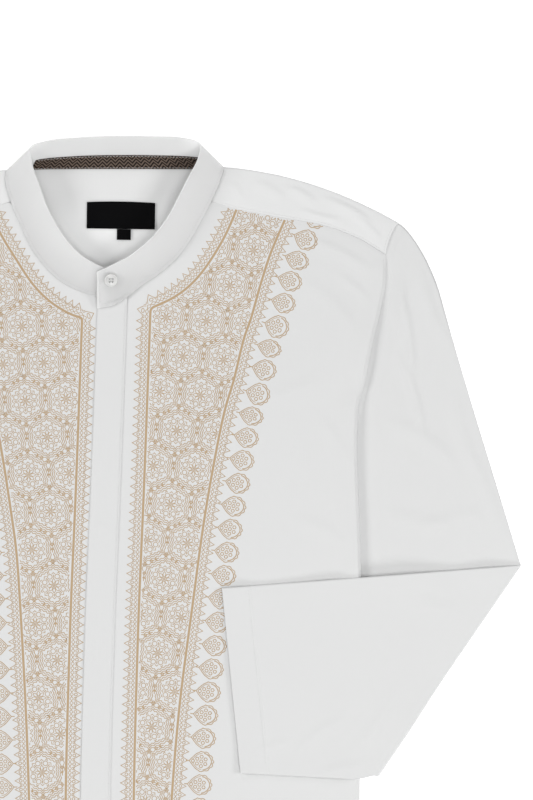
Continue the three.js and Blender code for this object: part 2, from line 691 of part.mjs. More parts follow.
const cotton = new THREE.MeshStandardMaterial({ color: COLOURS.cotton, roughness: 0.85 });
const tapeCloth = new THREE.MeshStandardMaterial({ color: COLOURS.tape, roughness: 0.9 });
const labelCloth = new THREE.MeshStandardMaterial({ color: COLOURS.label, roughness: 0.6 });
const pearl = new THREE.MeshStandardMaterial({ color: COLOURS.pearl, roughness: 0.3 });

const shirt = new THREE.Group();

function add(name, geometry, material, parent = shirt) {
  const mesh = new THREE.Mesh(geometry, material);
  mesh.name = name;
  parent.add(mesh);
}

add("back", back(), cotton);
add("yoke", yoke(), cotton);
add("front_left", front(1), cotton);
add("front_right", front(-1), cotton);
add("placket", placket(), cotton);
add("collar", collar(), cotton);
add("neck_tape", neckTape(), tapeCloth);
add("label", tag(LABEL), labelCloth);
add("size_tab", tag(SIZE_TAB), labelCloth);
add("sleeve_left", sleeve(SLEEVES.left, 1), cotton);
add("sleeve_right", sleeve(SLEEVES.right, -1), cotton);

// The button lies on the outer face of the collar's upper end.
const seat = new THREE.Group();
const up = bandNormal(BUTTON.row, BUTTON.up);
seat.position.copy(band(BUTTON.row, BUTTON.up)).addScaledVector(up, COLLAR_WALL / 2 + SEAM_GAP);
seat.quaternion.setFromUnitVectors(new THREE.Vector3(0, 0, 1), up);
add("button", buttonGeometry(), pearl, seat);
shirt.add(seat);

const box = new THREE.Box3().setFromObject(shirt);
shirt.position.set(-(box.min.x + box.max.x) / 2, -(box.min.y + box.max.y) / 2, -box.min.z);

export default shirt;
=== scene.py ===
"""The looks of a koko shirt laid face up with its sleeves folded in at the elbow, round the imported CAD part.

Lengths are in millimetres, seen from above, from the middle of the neck at the height where the shoulders
meet the collar: +X to the wearer's left, +Y up to the collar, +Z up from the surface. MOVE takes them to
the frame of the CAD part. Each piece of cloth is a thin shell in the place of its CAD wall.
"""

import math

import bpy
import numpy as np
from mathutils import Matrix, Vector
from mathutils.bvhtree import BVHTree


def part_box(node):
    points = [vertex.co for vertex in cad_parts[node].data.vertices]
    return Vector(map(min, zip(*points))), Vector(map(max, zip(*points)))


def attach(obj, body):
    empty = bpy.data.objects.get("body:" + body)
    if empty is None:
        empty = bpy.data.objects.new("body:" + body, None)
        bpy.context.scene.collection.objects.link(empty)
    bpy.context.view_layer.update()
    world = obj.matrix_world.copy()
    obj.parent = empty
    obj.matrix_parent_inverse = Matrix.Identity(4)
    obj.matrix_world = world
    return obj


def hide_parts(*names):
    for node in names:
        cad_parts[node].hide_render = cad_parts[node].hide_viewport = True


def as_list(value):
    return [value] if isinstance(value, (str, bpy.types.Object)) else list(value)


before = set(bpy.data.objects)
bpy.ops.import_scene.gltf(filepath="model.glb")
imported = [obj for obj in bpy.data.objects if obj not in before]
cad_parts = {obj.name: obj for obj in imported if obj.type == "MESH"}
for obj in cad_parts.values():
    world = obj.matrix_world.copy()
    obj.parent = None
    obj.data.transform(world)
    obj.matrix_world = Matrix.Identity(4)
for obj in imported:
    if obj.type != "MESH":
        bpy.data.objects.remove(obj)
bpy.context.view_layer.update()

MM = 0.001
LABEL_AT = (6.8, -41.0)  # middle of the neck label, which gives the place of everything else
label_low, label_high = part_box("label")
label_middle = (label_low + label_high) / 2 / MM
MOVE = np.array([label_middle.x - LABEL_AT[0], label_middle.y - LABEL_AT[1], 0.0])

# ---------------------------------------------------------------- driving dimensions, as in the CAD part

CLOTH = 0.5  # thickness of a shell
PAIR = 2.5  # height of two layers, such as a flat sleeve
LIFT = 3.0  # how far a flat sleeve raises what lies on it
BACK_LEVEL = 0.25  # middle of the back's cloth
FRONT_LEVEL = 2.2  # middle of the fronts' cloth
YOKE_LEVEL = 2.25
PLACKET_LEVEL = 3.25
TUBE = PAIR / 2 - CLOTH / 2  # from the middle of a flat sleeve to the middle of its cloth

HEM_Y = -738.0
YOKE_BACK_Y = -95.0
SHOULDER_FALL = 0.21
SHOULDER_TIP = np.array([245.0, -46.8])

# Half outline (y, x) from the shoulder tip down the armhole seam, then down the side to the hem.
OUTLINE = [
    (-46.8, 245), (-53, 241.2), (-61, 237.6), (-74, 234.6), (-95, 234.5), (-117, 231), (-145, 224.2),
    (-182, 216.5), (-209, 210.5), (-240, 209.6), (-290, 211.2), (-350, 213.2), (-450, 212.6),
    (-545, 212), (HEM_Y, 214),
]
GOES_UNDER = 7  # row of OUTLINE where the armhole seam turns under the side of the body
SIDE_TOP = OUTLINE[GOES_UNDER][0]
SEAM_END = OUTLINE[3]  # where the front yoke seam meets the armhole seam

# Front yoke seam (x, y), from the neck seam out to the armhole seam.
YOKE_SEAM = [(84.3, -28.4), (106, -34.8), (149, -43), (179, -48.4), (211, -60), (234.6, -74)]

# Stand collar, from the end that lies under to the end that lies over: x and y of its seam, x and y of its
# upper edge, and the heights of the two.
COLLAR = [
    (7, -115.5, 7, -92, 1.9, 8.5), (-4, -113.5, -3, -87.8, 1.9, 11.5),
    (-15.9, -109.2, -13, -83.6, 2, 14.5), (-25.8, -106.4, -19, -80.3, 2, 17),
    (-40.4, -99.8, -27.5, -74.7, 2, 19), (-54.2, -88.9, -38, -63.8, 2, 20),
    (-68.8, -70.5, -47.3, -50.4, 2, 20), (-79.5, -48, -56.3, -33, 2, 20),
    (-87.8, -28.4, -62.5, -15.5, 2, 20), (-92.3, -10.5, -69, 3.5, 1.8, 20),
    (-90.5, -1.4, -69.4, 17.5, 1.5, 20), (-70, 1, -56, 22.3, 1.1, 21), (-35, 1.6, -28, 25.2, 1.1, 21.5),
    (4, 1.7, 3, 26.3, 1.1, 22), (45, 1.6, 35, 26, 1.1, 21.5), (78, 1.5, 60, 25, 1.1, 21),
    (94.6, 0.9, 74.2, 20.3, 1.4, 20), (92.3, -9.5, 73.6, 8.5, 1.8, 20), (84.3, -28.4, 64.3, -10, 2, 20),
    (74.6, -46.8, 55.6, -27, 2, 20), (65, -63.5, 48, -41.5, 2, 20), (54.5, -77.4, 39.4, -53.4, 2, 20),
    (41, -89.4, 28.9, -64.5, 2, 19.5), (24.1, -101, 14.6, -75.7, 2.3, 18.5),
    (12.5, -110, 5.5, -80.6, 3.3, 17), (0, -117.8, -4.5, -85.6, 4, 15.5),
    (-13.5, -120.5, -13.4, -89.4, 4, 15),
]
# Rows of that table where the pieces round the neck meet.
YOKE_RIGHT, NECK_RIGHT, NECK_LEFT, YOKE_LEFT, PLACKET_LEFT, COLLAR_END = 8, 10, 16, 18, 24, 26
COLLAR_CLOTH = 1.0  # two layers of cotton with interlining
COLLAR_RAISE = 0.9  # its seam lies on the fronts

# Middle of the placket (y, x), which leans as it goes down, and half its width.
PLACKET_MIDDLE = [(-100, 0), (-270, -6.2), (-400, -11.5), (-545, -15.2), (HEM_Y, -17)]
PLACKET_HALF = 12.6
FRONT_EDGE = {1: 9.8, -1: 9.0}  # the fronts' edges under the placket, from its middle

# A sleeve folded flat, on the wearer's left side.
ELBOW = (350.9, -342.3)
FOLD_END = (224.5, -526.3)
OPENING = ((93.7, -361.2), (109.7, -520.3))
FLAP_END = (205.0, -524.0)  # where the lifted lower edge of the flap ends
UNDERARM = (113.0, -263.0)
UNDERARM_BEND = (206.0, -256.0)
SLEEVE_BULGE = [
    (0, 0), (0.03, 4.6), (0.08, 9.3), (0.13, 11.9), (0.2, 13.2), (0.27, 11.9), (0.38, 9.5), (0.55, 6.6),
    (0.8, 3), (1, 0),
]
ARMHOLE_JOINT = 0.4
ARMHOLE_TUCK = 1.9  # how far the sleeve runs in under the body's edge
FOLD_CORNER = {"inset": 5.0, "reach": 9.0}
FOLD_AXIS = 2.75
SWING = {1: 0.0, -1: 2.5}  # degrees
RAMP = {"margin": 18.0, "length": 72.0, "fold": 28.0}
FOLD_RISE = (0.5, 0.82)
SLEEVE_HEM = 24.0

TAPE = {"low": 0.0, "high": 0.38, "end_drop": 0.1, "foot": 1.8, "rows": (11, 15.5)}
TAPE_WIDTH = 12.0
LABEL = {"x": 6.8, "y": -41.0, "width": 58.5, "height": 22.5, "turn": -0.8}
SIZE_TAB = {"x": 9.3, "y": -57.2, "width": 11.8, "height": 9.0, "turn": -0.8}
BUTTON = {"row": 24.87, "up": 0.65, "radius": 6.0, "thickness": 2.4, "dish": 0.7, "rim": 1.3,
          "hole_ring": 1.75, "hole": 0.72}

# ---------------------------------------------------------------- curves


def ease(t):
    """A smooth step: 0 up to 0, and 1 from 1 on."""
    t = np.clip(t, 0, 1)
    return t * t * (3 - 2 * t)


def hump(away, reach):
    """1 where away is 0, down to next to nothing at twice the reach."""
    return np.exp(-((away / reach) ** 2))


def between(start, end, share):
    """The value or point that lies this share of the way from start to end."""
    return start + (end - start) * share


def unit(v):
    """The same directions with a length of 1."""
    return v / np.maximum(np.linalg.norm(v, axis=-1, keepdims=True), 1e-9)


def xy(x, y):
    """Points seen from above. Either coordinate may be one number for all."""
    return np.stack(np.broadcast_arrays(x, y), -1)


def distances(route):
    """How far along a route each of its points lies, or along each column of a grid."""
    steps = np.linalg.norm(np.diff(route, axis=0), axis=-1)
    return np.concatenate([0 * steps[:1], np.cumsum(steps, axis=0)])


def sampled(at, places, values):
    """Rows of values between those that are given at places."""
    return np.stack([np.interp(at, places, column) for column in np.transpose(values)], -1)


def smooth(rows, at):
    """The second column of a table at a place in its first, on a curve through its rows with no overshoot."""
    x, y = np.array(sorted(rows), float).T
    at = np.clip(at, x[0], x[-1])
    step, slope = np.diff(x), np.diff(y) / np.diff(x)
    together = slope[:-1] * slope[1:]
    mean = np.where(together > 0, 2 * together / (slope[:-1] + slope[1:] + 1e-12), 0)
    tangent = np.concatenate([slope[:1], mean, slope[-1:]])
    i = np.clip(np.searchsorted(x, at) - 1, 0, len(x) - 2)
    t = (at - x[i]) / step[i]
    rise = tangent[i] * (t**3 - 2 * t**2 + t) + tangent[i + 1] * (t**3 - t**2)
    return y[i] + (y[i + 1] - y[i]) * (3 * t**2 - 2 * t**3) + rise * step[i]


def spline(points, row):
    """Point at a row, which may be a fraction, of a centripetal Catmull-Rom curve through the points."""
    points, row = np.asarray(points, float), np.asarray(row, float)
    p = np.vstack([2 * points[0] - points[1], points, 2 * points[-1] - points[-2]])
    i = np.clip(np.floor(row).astype(int), 0, len(points) - 2)
    t = (row - i)[..., None]
    p0, p1, p2, p3 = p[i], p[i + 1], p[i + 2], p[i + 3]
    gaps = (p1 - p0, p2 - p1, p3 - p2)
    d0, d1, d2 = (np.sqrt(np.linalg.norm(gap, axis=-1, keepdims=True)) for gap in gaps)
    t1 = ((p1 - p0) / d0 - (p2 - p0) / (d0 + d1) + (p2 - p1) / d1) * d1
    t2 = ((p2 - p1) / d1 - (p3 - p1) / (d1 + d2) + (p3 - p2) / d2) * d1
    return (
        (2 * t**3 - 3 * t**2 + 1) * p1 + (t**3 - 2 * t**2 + t) * t1
        + (3 * t**2 - 2 * t**3) * p2 + (t**3 - t**2) * t2
    )


def coons(top, bottom, left, right, u, v, corners=None):
    """Grid of points spanned by four edges: top and bottom at each u, left and right at each v.

    corners are the four places where the edges meet, which are the ends of top and bottom if not given.
    """
    U, V = u[None, :, None], v[:, None, None]
    a, b, c, d = corners or (top[0], top[-1], bottom[0], bottom[-1])
    return (
        top[None] * (1 - V) + bottom[None] * V + left[:, None] * (1 - U) + right[:, None] * U
        - a * (1 - U) * (1 - V) - b * U * (1 - V) - c * (1 - U) * V - d * U * V
    )


def distance_to(p, route):
    """How far each point of p lies from a route of points, both seen from above."""
    a, b = np.asarray(route, float)[:-1], np.asarray(route, float)[1:]
    flat = np.asarray(p, float).reshape(-1, 2)
    best = np.full(len(flat), 1e9)
    for start, end in zip(a, b):
        way = end - start
        t = np.clip((flat - start) @ way / max(way @ way, 1e-9), 0, 1)
        best = np.minimum(best, np.linalg.norm(flat - start - t[:, None] * way, axis=1))
    return best.reshape(np.asarray(p).shape[:-1])


def rotated(shape, angle, at=(0.0, 0.0)):
    """Points turned about the origin, then moved."""
    c, s = math.cos(angle), math.sin(angle)
    return shape @ np.array([[c, s], [-s, c]]) + at


COLLAR_ROWS = np.array(COLLAR, float)
outline_x = lambda y: smooth(OUTLINE, y)
middle_x = lambda y: smooth(PLACKET_MIDDLE, y)
yoke_seam_y = lambda x: smooth(YOKE_SEAM, np.abs(x))
seam_line = lambda row: spline(COLLAR_ROWS[:, [0, 1, 4]], row)
top_line = lambda row: spline(COLLAR_ROWS[:, [2, 3, 5]], row)
neck_point = lambda row: seam_line(row)[..., :2]

# ---------------------------------------------------------------- how a sleeve lies


class Sleeve:
    """The lie of one sleeve, worked out on the wearer's left side."""

    def __init__(self, swing):
        turned = lambda p: rotated(np.array(p) - SHOULDER_TIP, math.radians(swing), SHOULDER_TIP)
        elbow, fold_end = turned(ELBOW), turned(FOLD_END)
        self.underarm, self.bend = turned(UNDERARM), turned(UNDERARM_BEND)
        self.along = unit(fold_end - elbow)
        self.out = np.array([-self.along[1], self.along[0]])
        self.axis = elbow - self.out * FOLD_AXIS
        self.slack = math.pi * (FOLD_AXIS - PAIR / 2)
        self.run = unit(elbow - SHOULDER_TIP)
        self.side = np.array([-self.run[1], self.run[0]])
        self.reach = 1 / (self.run @ self.out)
        self.fold_start = elbow - self.run * FOLD_AXIS * self.reach
        self.fold_length = np.linalg.norm(fold_end - elbow)
        self.fold_stop = self.fold_start + self.along * self.fold_length
        self.folded_opening = np.array([turned(p) for p in OPENING])
        self.opening = [self.across_fold(p) for p in self.folded_opening]
        self.flap_top = np.array([self.folded_opening[0], self.axis])
        self.flap_bottom = np.array([self.folded_opening[1], FLAP_END])
        self.joint = np.array(OUTLINE[GOES_UNDER][::-1], float)
        y = np.arange(self.joint[1], HEM_Y, -1.0)
        down = (y - self.underarm[1]) / (self.fold_stop[1] - self.underarm[1])
        exit_y = y[np.argmax(between(self.underarm[0], self.fold_stop[0], down) >= outline_x(y))]
        self.covered = np.array([self.joint, self.underarm, (outline_x(exit_y), exit_y), self.joint])

    def beyond(self, p):
        """How far points lie past the fold."""
        return (p - self.axis) @ self.out

    def across_fold(self, p):
        """Where points of the unfolded flap come to lie, or the other way round."""
        return p + self.out * (self.slack - 2 * self.beyond(p))[..., None]

    def hidden(self, t):
        """The part of the armhole seam that lies under the body."""
        t = t[:, None]
        return self.joint * (1 - t) ** 2 + 2 * self.bend * t * (1 - t) + self.underarm * t**2


SLEEVES = {side: Sleeve(SWING[side]) for side in (1, -1)}


def body_lift(p):
    """How far the sleeve under it raises the body at each point."""
    p = np.asarray(p, float)
    away = xy(np.abs(p[..., 0]), p[..., 1])
    lifts = {}
    for side, plan in SLEEVES.items():
        gap = distance_to(away, plan.covered)
        a, b, c = plan.covered[:3]
        turns = [
            (e[0] - s[0]) * (away[..., 1] - s[1]) - (e[1] - s[1]) * (away[..., 0] - s[0])
            for s, e in ((a, b), (b, c), (c, a))
        ]
        inside = np.all(np.array(turns) >= 0, axis=0) | np.all(np.array(turns) <= 0, axis=0)
        past_margin = np.maximum(0, np.where(inside, 0, gap) - RAMP["margin"])
        lifts[side] = LIFT * ease(1 - past_margin / RAMP["length"])
    return np.where(p[..., 0] > 0, lifts[1], lifts[-1])


# ---------------------------------------------------------------- creases

# Soft creases in the cloth, each (x, y) of its two ends, its width, its height and its bow to one side.
# The wearer's left shows in the photo; the right has creases of its own of the same kind.
CREASES = {
    "yoke": {
        1: [(148, -14, 176, -33, 9, 1.2, 2), (157, -33, 200, -44, 6, 1.1, -3),
            (120, -12, 150, -30, 10, 0.9, 3), (176, -24, 226, -52, 8, 1.3, 4),
            (100, -10, 112, -29, 6, 0.7, 1), (205, -40, 232, -64, 6, 0.9, 2)],
        -1: [(140, -12, 168, -36, 9, 1.1, 3), (165, -24, 214, -50, 8, 1.4, -4),
             (108, -10, 128, -30, 8, 0.8, 2), (195, -42, 230, -62, 6, 1.0, 2)],
    },
    "front": {
        1: [(160, -60, 226, -92, 9, 1.3, 5), (150, -90, 214, -150, 13, 0.8, 8),
            (190, -90, 222, -118, 7, 1.0, 3), (172, -210, 204, -262, 12, 0.9, 5),
            (150, -300, 206, -330, 14, 0.9, 6), (120, -196, 186, -176, 12, 0.7, -5),
            (100, -420, 190, -380, 16, 0.8, 8), (60, -560, 190, -540, 18, 0.9, -8),
            (52, -660, 150, -610, 16, 1.1, 9), (150, -700, 205, -600, 14, 1.0, 6)],
        -1: [(150, -66, 222, -98, 10, 1.2, 5), (146, -100, 212, -160, 12, 0.9, -7),
             (186, -96, 220, -128, 7, 0.9, 3), (168, -230, 206, -270, 13, 1.0, 5),
             (146, -320, 206, -342, 14, 0.8, -6), (110, -450, 196, -420, 16, 0.9, 8),
             (70, -600, 190, -560, 18, 0.9, 9), (140, -710, 204, -630, 14, 1.0, -6)],
    },
    "sleeve": {
        1: [(243, -92, 258, -190, 9, 1.6, 4), (262, -74, 292, -158, 11, 1.2, -5),
            (240, -150, 268, -236, 8, 1.4, 5), (238, -70, 229, -150, 9, -1.5, 1),
            (250, -80, 244, -168, 8, 0.9, 1), (226, -215, 300, -262, 12, 1.3, 8),
            (292, -180, 318, -268, 12, 0.9, -5), (224, -290, 296, -306, 9, 1.2, -4),
            (252, -318, 326, -296, 9, 1.1, 5), (300, -236, 336, -320, 9, 1.0, 4)],
        -1: [(244, -88, 262, -176, 10, 1.4, -4), (238, -160, 272, -240, 8, 1.5, 5),
             (262, -84, 300, -170, 12, 1.1, 6), (239, -66, 228, -138, 9, -1.4, -1),
             (251, -76, 243, -150, 8, 0.8, -1), (228, -230, 306, -270, 12, 1.2, -7),
             (230, -300, 318, -296, 10, 1.2, 5), (306, -210, 334, -300, 11, 0.9, 4)],
    },
    "flap": {
        1: [(118, -505, 158, -492, 7, 1.1, 3), (150, -512, 206, -470, 10, 1.2, 6),
            (196, -508, 246, -440, 11, 1.0, -6), (222, -380, 228, -500, 12, 0.7, 3),
            (120, -380, 150, -470, 16, 0.5, 6), (250, -372, 300, -384, 12, 0.9, 3),
            (176, -520, 226, -512, 6, 1.0, 2)],
        -1: [(122, -506, 166, -488, 8, 1.2, 4), (160, -514, 214, -476, 10, 1.1, -6),
             (202, -510, 246, -450, 12, 0.9, 6), (226, -384, 232, -490, 12, 0.7, -3),
             (256, -372, 306, -390, 12, 0.8, 3)],
    },
}
SWELL = 0.28  # height of the broad, hardly visible waves


def crease_height(p, creases):
    """Height of soft ridges at points seen from above."""
    total = np.zeros(p.shape[:-1])
    for x0, y0, x1, y1, width, height, bow in creases:
        start, way = np.array([x0, y0], float), np.array([x1 - x0, y1 - y0], float)
        length = np.linalg.norm(way)
        way = way / length
        along = (p - start) @ way / length
        across = (p - start) @ np.array([-way[1], way[0]]) - bow * (1 - (2 * along - 1) ** 2)
        steep = np.where(across > 0, width * 0.36, width * 0.62)  # one flank is steeper than the other
        taper = ease(along / 0.35) * ease((1 - along) / 0.3)
        total += height * taper * hump(across, steep)
    return total


def swell(p, seed):
    """Broad waves of the cloth, from 0 up."""
    x, y = p[..., 0], p[..., 1]
    waves = np.sin(x / 31 + 2.1 * seed) * np.sin(y / 43 - 1.3 * seed) + np.sin((x + y) / 23 + seed)
    return SWELL * (1 + waves / 2)


def relief(p, kind, side):
    """Creases and waves of one kind of cloth on one side of the shirt."""
    away = xy(np.abs(p[..., 0]), p[..., 1])
    return crease_height(away, CREASES[kind][side]) + swell(away, side + len(kind))


# ---------------------------------------------------------------- meshes


def thicken(points, quads, thick):
    """A closed shell with a rounded rim round a surface: points, faces and the source of each point."""
    corner = points[quads]
    normal = np.cross(corner[:, 2] - corner[:, 0], corner[:, 3] - corner[:, 1])
    total = np.zeros_like(points)
    for k in range(4):
        np.add.at(total, quads[:, k], normal)
    total = unit(total)
    edges = np.stack([quads, np.roll(quads, -1, axis=1)], -1).reshape(-1, 2)
    n = len(points)
    free = edges[~np.isin(edges[:, 0] * n + edges[:, 1], edges[:, 1] * n + edges[:, 0])]
    outward = np.zeros_like(points)
    away = np.cross(points[free[:, 1]] - points[free[:, 0]], total[free[:, 0]])
    for k in range(2):
        np.add.at(outward, free[:, k], unit(away))
    rim_ids = np.unique(free)
    rim = points[rim_ids] + unit(outward[rim_ids]) * thick * 0.35
    place = np.zeros(n, int)
    place[rim_ids] = 2 * n + np.arange(len(rim_ids))
    a, b = free[:, 0], free[:, 1]
    faces = np.vstack([
        quads,
        quads[:, ::-1] + n,
        np.stack([b, a, place[a], place[b]], -1),
        np.stack([place[b], place[a], a + n, b + n], -1),
    ])
    points = np.vstack([points + total * thick / 2, points - total * thick / 2, rim])
    source = np.concatenate([np.arange(n), np.arange(n), rim_ids])
    return points, faces, source


def grid_quads(rows, columns, around=False, has=None):
    """Cells of a grid of points, turned to face up where rows run down and columns run to the right."""
    j, i = np.meshgrid(np.arange(rows - 1), np.arange(columns if around else columns - 1), indexing="ij")
    if has is not None:
        j, i = j[has], i[has]
    j, i = j.ravel(), i.ravel()
    right = (i + 1) % columns
    here, below = j * columns, (j + 1) * columns
    return np.stack([here + i, below + i, below + right, here + right], -1)


def piece(name, points, faces, material, lay=None, replaces=(), rounded=True):
    """An object of points in mm, which rides on the shirt. lay is where each is on the flat cloth."""
    used, faces = np.unique(np.asarray(faces), return_inverse=True)
    faces = faces.reshape(-1, 4)
    points = np.asarray(points)[used]
    mesh = bpy.data.meshes.new(name)
    mesh.from_pydata(((points + MOVE) * MM).tolist(), [], [list(dict.fromkeys(f)) for f in faces.tolist()])
    mesh.polygons.foreach_set("use_smooth", [rounded] * len(mesh.polygons))
    if lay is not None:
        flat = np.zeros((len(points), 3), np.float32)
        flat[:, : lay.shape[1]] = np.asarray(lay)[used]
        mesh.attributes.new("lay", "FLOAT_VECTOR", "POINT").data.foreach_set("vector", flat.ravel())
    mesh.materials.append(material)
    made = bpy.data.objects.new(name, mesh)
    bpy.context.scene.collection.objects.link(made)
    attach(made, "root")
    if replaces:
        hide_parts(*replaces)
    return made


def cloth(name, grid, lay, material, node, thick=CLOTH, around=False, has=None, flip=False):
    """A shell of cloth over a grid of points, rows by columns."""
    rows, columns = grid.shape[:2]
    quads = grid_quads(rows, columns, around, has)
    if flip:
        quads = quads[:, ::-1]
    points, faces, source = thicken(grid.reshape(-1, 3), quads, thick)
    flat = np.asarray(lay, float).reshape(rows * columns, -1)
    return piece(name, points, faces, material, flat[source], [node])


# ---------------------------------------------------------------- materials


class Look:
    """A material while it is made: its shader, and short ways to add nodes to it."""

    def __init__(self, name, colour, roughness, **values):
        self.material = bpy.data.materials.new(name)
        self.material.use_nodes = True
        self.nodes, self.links = self.material.node_tree.nodes, self.material.node_tree.links
        self.shader = self.nodes["Principled BSDF"]
        self.shader.inputs["Base Color"].default_value = (*colour, 1)
        self.shader.inputs["Roughness"].default_value = roughness
        for key, value in values.items():
            self.shader.inputs[key.replace("_", " ")].default_value = value

    def node(self, kind, inputs, **settings):
        """A new node. Each input is a value or another node's output."""
        new = self.nodes.new(kind)
        for key, value in settings.items():
            setattr(new, key, value)
        for key, value in inputs.items():
            if isinstance(value, bpy.types.NodeSocket):
                self.links.new(value, new.inputs[key])
            else:
                new.inputs[key].default_value = value
        return new

    def lay(self):
        """The place on the flat cloth, in mm, and its two parts."""
        at = self.node("ShaderNodeAttribute", {}, attribute_name="lay").outputs["Vector"]
        parts = self.node("ShaderNodeSeparateXYZ", {"Vector": at})
        return at, parts.outputs["X"], parts.outputs["Y"]

    def maths(self, operation, a, b=0.0):
        """A function of one or two values."""
        return self.node("ShaderNodeMath", {0: a, 1: b}, operation=operation).outputs["Value"]

    def add(self, a, b):
        """The sum of two values."""
        return self.maths("ADD", a, b)

    def times(self, a, b):
        """The product of two values."""
        return self.maths("MULTIPLY", a, b)

    def ripple(self, along, pitch):
        """A sine wave that repeats every pitch, in mm."""
        return self.maths("SINE", self.times(along, 2 * math.pi / pitch))

    def clouds(self, at, scale, detail, distortion=0.0):
        """Soft noise from 0 to 1."""
        inputs = {"Vector": at, "Scale": scale, "Detail": detail, "Distortion": distortion}
        return self.node("ShaderNodeTexNoise", inputs).outputs["Fac"]

    def mixed(self, factor, low, high):
        """A colour between two, by a factor from 0 to 1."""
        inputs = {"Factor": factor, 6: (*low, 1), 7: (*high, 1)}
        return self.node("ShaderNodeMix", inputs, data_type="RGBA").outputs[2]

    def painted_light_near(self, colour, along, middle, reach, share):
        """The colour times a share, within reach of a middle along one direction of the cloth: light or shade
        painted onto that stretch.
        """
        away = self.maths("ABSOLUTE", self.maths("SUBTRACT", along, middle))
        ramp = {"Value": away, "From Min": reach + 25, "From Max": reach - 15, "To Min": 1.0, "To Max": share}
        near = self.node("ShaderNodeMapRange", ramp, interpolation_type="SMOOTHSTEP").outputs["Result"]
        scaled = self.node("ShaderNodeVectorMath", {0: colour, "Scale": near}, operation="SCALE")
        return scaled.outputs["Vector"]

    def paint(self, colour):
        """Gives the shader a colour that comes from nodes."""
        self.links.new(colour, self.shader.inputs["Base Color"])

    def bump(self, height, strength, distance):
        """Lets a height tilt the shading. A height of 1 stands for the distance, in mm."""
        inputs = {"Height": height, "Strength": strength, "Distance": distance * MM}
        self.links.new(self.node("ShaderNodeBump", inputs).outputs["Normal"], self.shader.inputs["Normal"])


def cotton_material(name, colour, weave=0.45, slub=0.045, through=0.0, painted_light=None):
    """Fine plain weave. through lets light in. painted_light is (axis, middle, reach, share), as in
    Look.painted_light_near: light or shade painted onto a stretch of the cloth.
    """
    look = Look(
        name, colour, 0.88, Sheen_Weight=0.12, Sheen_Roughness=0.6, Specular_IOR_Level=0.25,
        Subsurface_Weight=through, Subsurface_Radius=(1, 1, 1), Subsurface_Scale=0.004)
    at, x, y = look.lay()
    over = look.times(look.ripple(x, weave), look.ripple(y, weave))
    # Slubs: threads that are a little thicker for a few centimetres, across and along.
    slubs = []
    for scale in ((0.035, 1.6, 1), (1.6, 0.03, 1)):
        stretched = look.node("ShaderNodeMapping", {"Vector": at, "Scale": scale}).outputs["Vector"]
        slubs.append(look.clouds(stretched, 1.0, 3.0))
    both = look.add(*slubs)
    streaky = look.times(look.add(both, -1.0), 4 * slub)
    cloudy = look.times(look.add(look.clouds(at, 0.02, 2.0), -0.5), slub)
    low, high = ([c * (1 + s) for c in colour] for s in (-slub, slub))
    toned = look.mixed(look.add(look.add(streaky, cloudy), 0.5), low, high)
    # Light or shade painted onto a stretch of the cloth.
    if painted_light:
        toned = look.painted_light_near(toned, {"x": x, "y": y}[painted_light[0]], *painted_light[1:])
    look.paint(toned)
    look.bump(look.add(look.times(over, 0.3), look.times(both, 0.9)), 0.35, 0.12)
    return look.material


def tape_material(column=3.8, twill=3.2, thread=0.55):
    """Herringbone: slanting twill lines, in mm, that turn back from one column to the next."""
    look = Look("tape", (0.07, 0.05, 0.042), 0.9, Specular_IOR_Level=0.15)
    _, x, y = look.lay()
    slant = look.add(y, look.maths("PINGPONG", x, column))
    line = look.maths("GREATER_THAN", look.ripple(slant, twill), 0.15)
    fine = look.times(look.ripple(x, thread), 0.08)
    share = look.add(look.add(look.times(line, 0.8), fine), 0.08)
    look.paint(look.mixed(share, (0.005, 0.003, 0.0025), (0.17, 0.127, 0.101)))
    look.bump(share, 0.5, 0.15)
    return look.material


def label_material(rib=0.32):
    """Black satin, woven in fine ribs."""
    look = Look("label", (0.003, 0.003, 0.0035), 0.8, Specular_IOR_Level=0.04)
    at, _, y = look.lay()
    fleck = look.clouds(at, 1.4, 2.0)
    look.paint(look.mixed(fleck, (0.002, 0.002, 0.0023), (0.005, 0.005, 0.0055)))
    look.bump(look.add(look.ripple(y, rib), fleck), 0.3, 0.06)
    return look.material


def pearl_material():
    """Shell-like plastic with faint clouds."""
    look = Look("pearl", (0.7, 0.7, 0.69), 0.28, Coat_Weight=0.3)
    cloud = look.clouds(look.lay()[0], 0.35, 4.0, distortion=1.5)
    look.paint(look.mixed(cloud, (0.64, 0.645, 0.64), (0.76, 0.755, 0.74)))
    look.bump(cloud, 0.15, 0.05)
    return look.material


def print_material():
    """Matt ink that sits on the threads, a little uneven."""
    look = Look("print", (0.51, 0.37, 0.23), 0.9, Specular_IOR_Level=0.2)
    uneven = look.clouds(look.lay()[0], 1.1, 2.0)
    look.paint(look.mixed(uneven, (0.46, 0.325, 0.195), (0.56, 0.415, 0.265)))
    return look.material


def thread_material(twist=0.3):
    """White sewing thread, twisted."""
    look = Look("thread", (0.76, 0.765, 0.76), 0.6, Sheen_Weight=0.2)
    _, x, y = look.lay()
    strand = look.times(look.ripple(look.add(x, y), twist), 0.5)
    look.paint(look.mixed(strand, (0.7, 0.705, 0.7), (0.8, 0.805, 0.8)))
    return look.material


COTTON = cotton_material("cotton", (0.742, 0.745, 0.743))
# The collar stands, so light comes through it. At the back of the neck, where it faces the light, its colour
# is painted darker: painted shade.
NECK_BACK = 258.0  # middle of the back along the collar's seam, in mm
COTTON_UPRIGHT = cotton_material(
    "cotton_upright", (0.79, 0.793, 0.791), through=0.9, painted_light=("x", NECK_BACK, 80.0, 0.78))
# The yoke's colour is painted lighter than the other cotton, most of all low down inside the neck: painted
# light against the shade there.
COTTON_YOKE = cotton_material("cotton_yoke", (0.782, 0.785, 0.783), painted_light=("y", YOKE_BACK_Y, 50.0, 1.22))
TAPE_CLOTH, LABEL_CLOTH, PEARL = tape_material(), label_material(), pearl_material()
PRINT_INK, THREAD = print_material(), thread_material()

# ---------------------------------------------------------------- the body

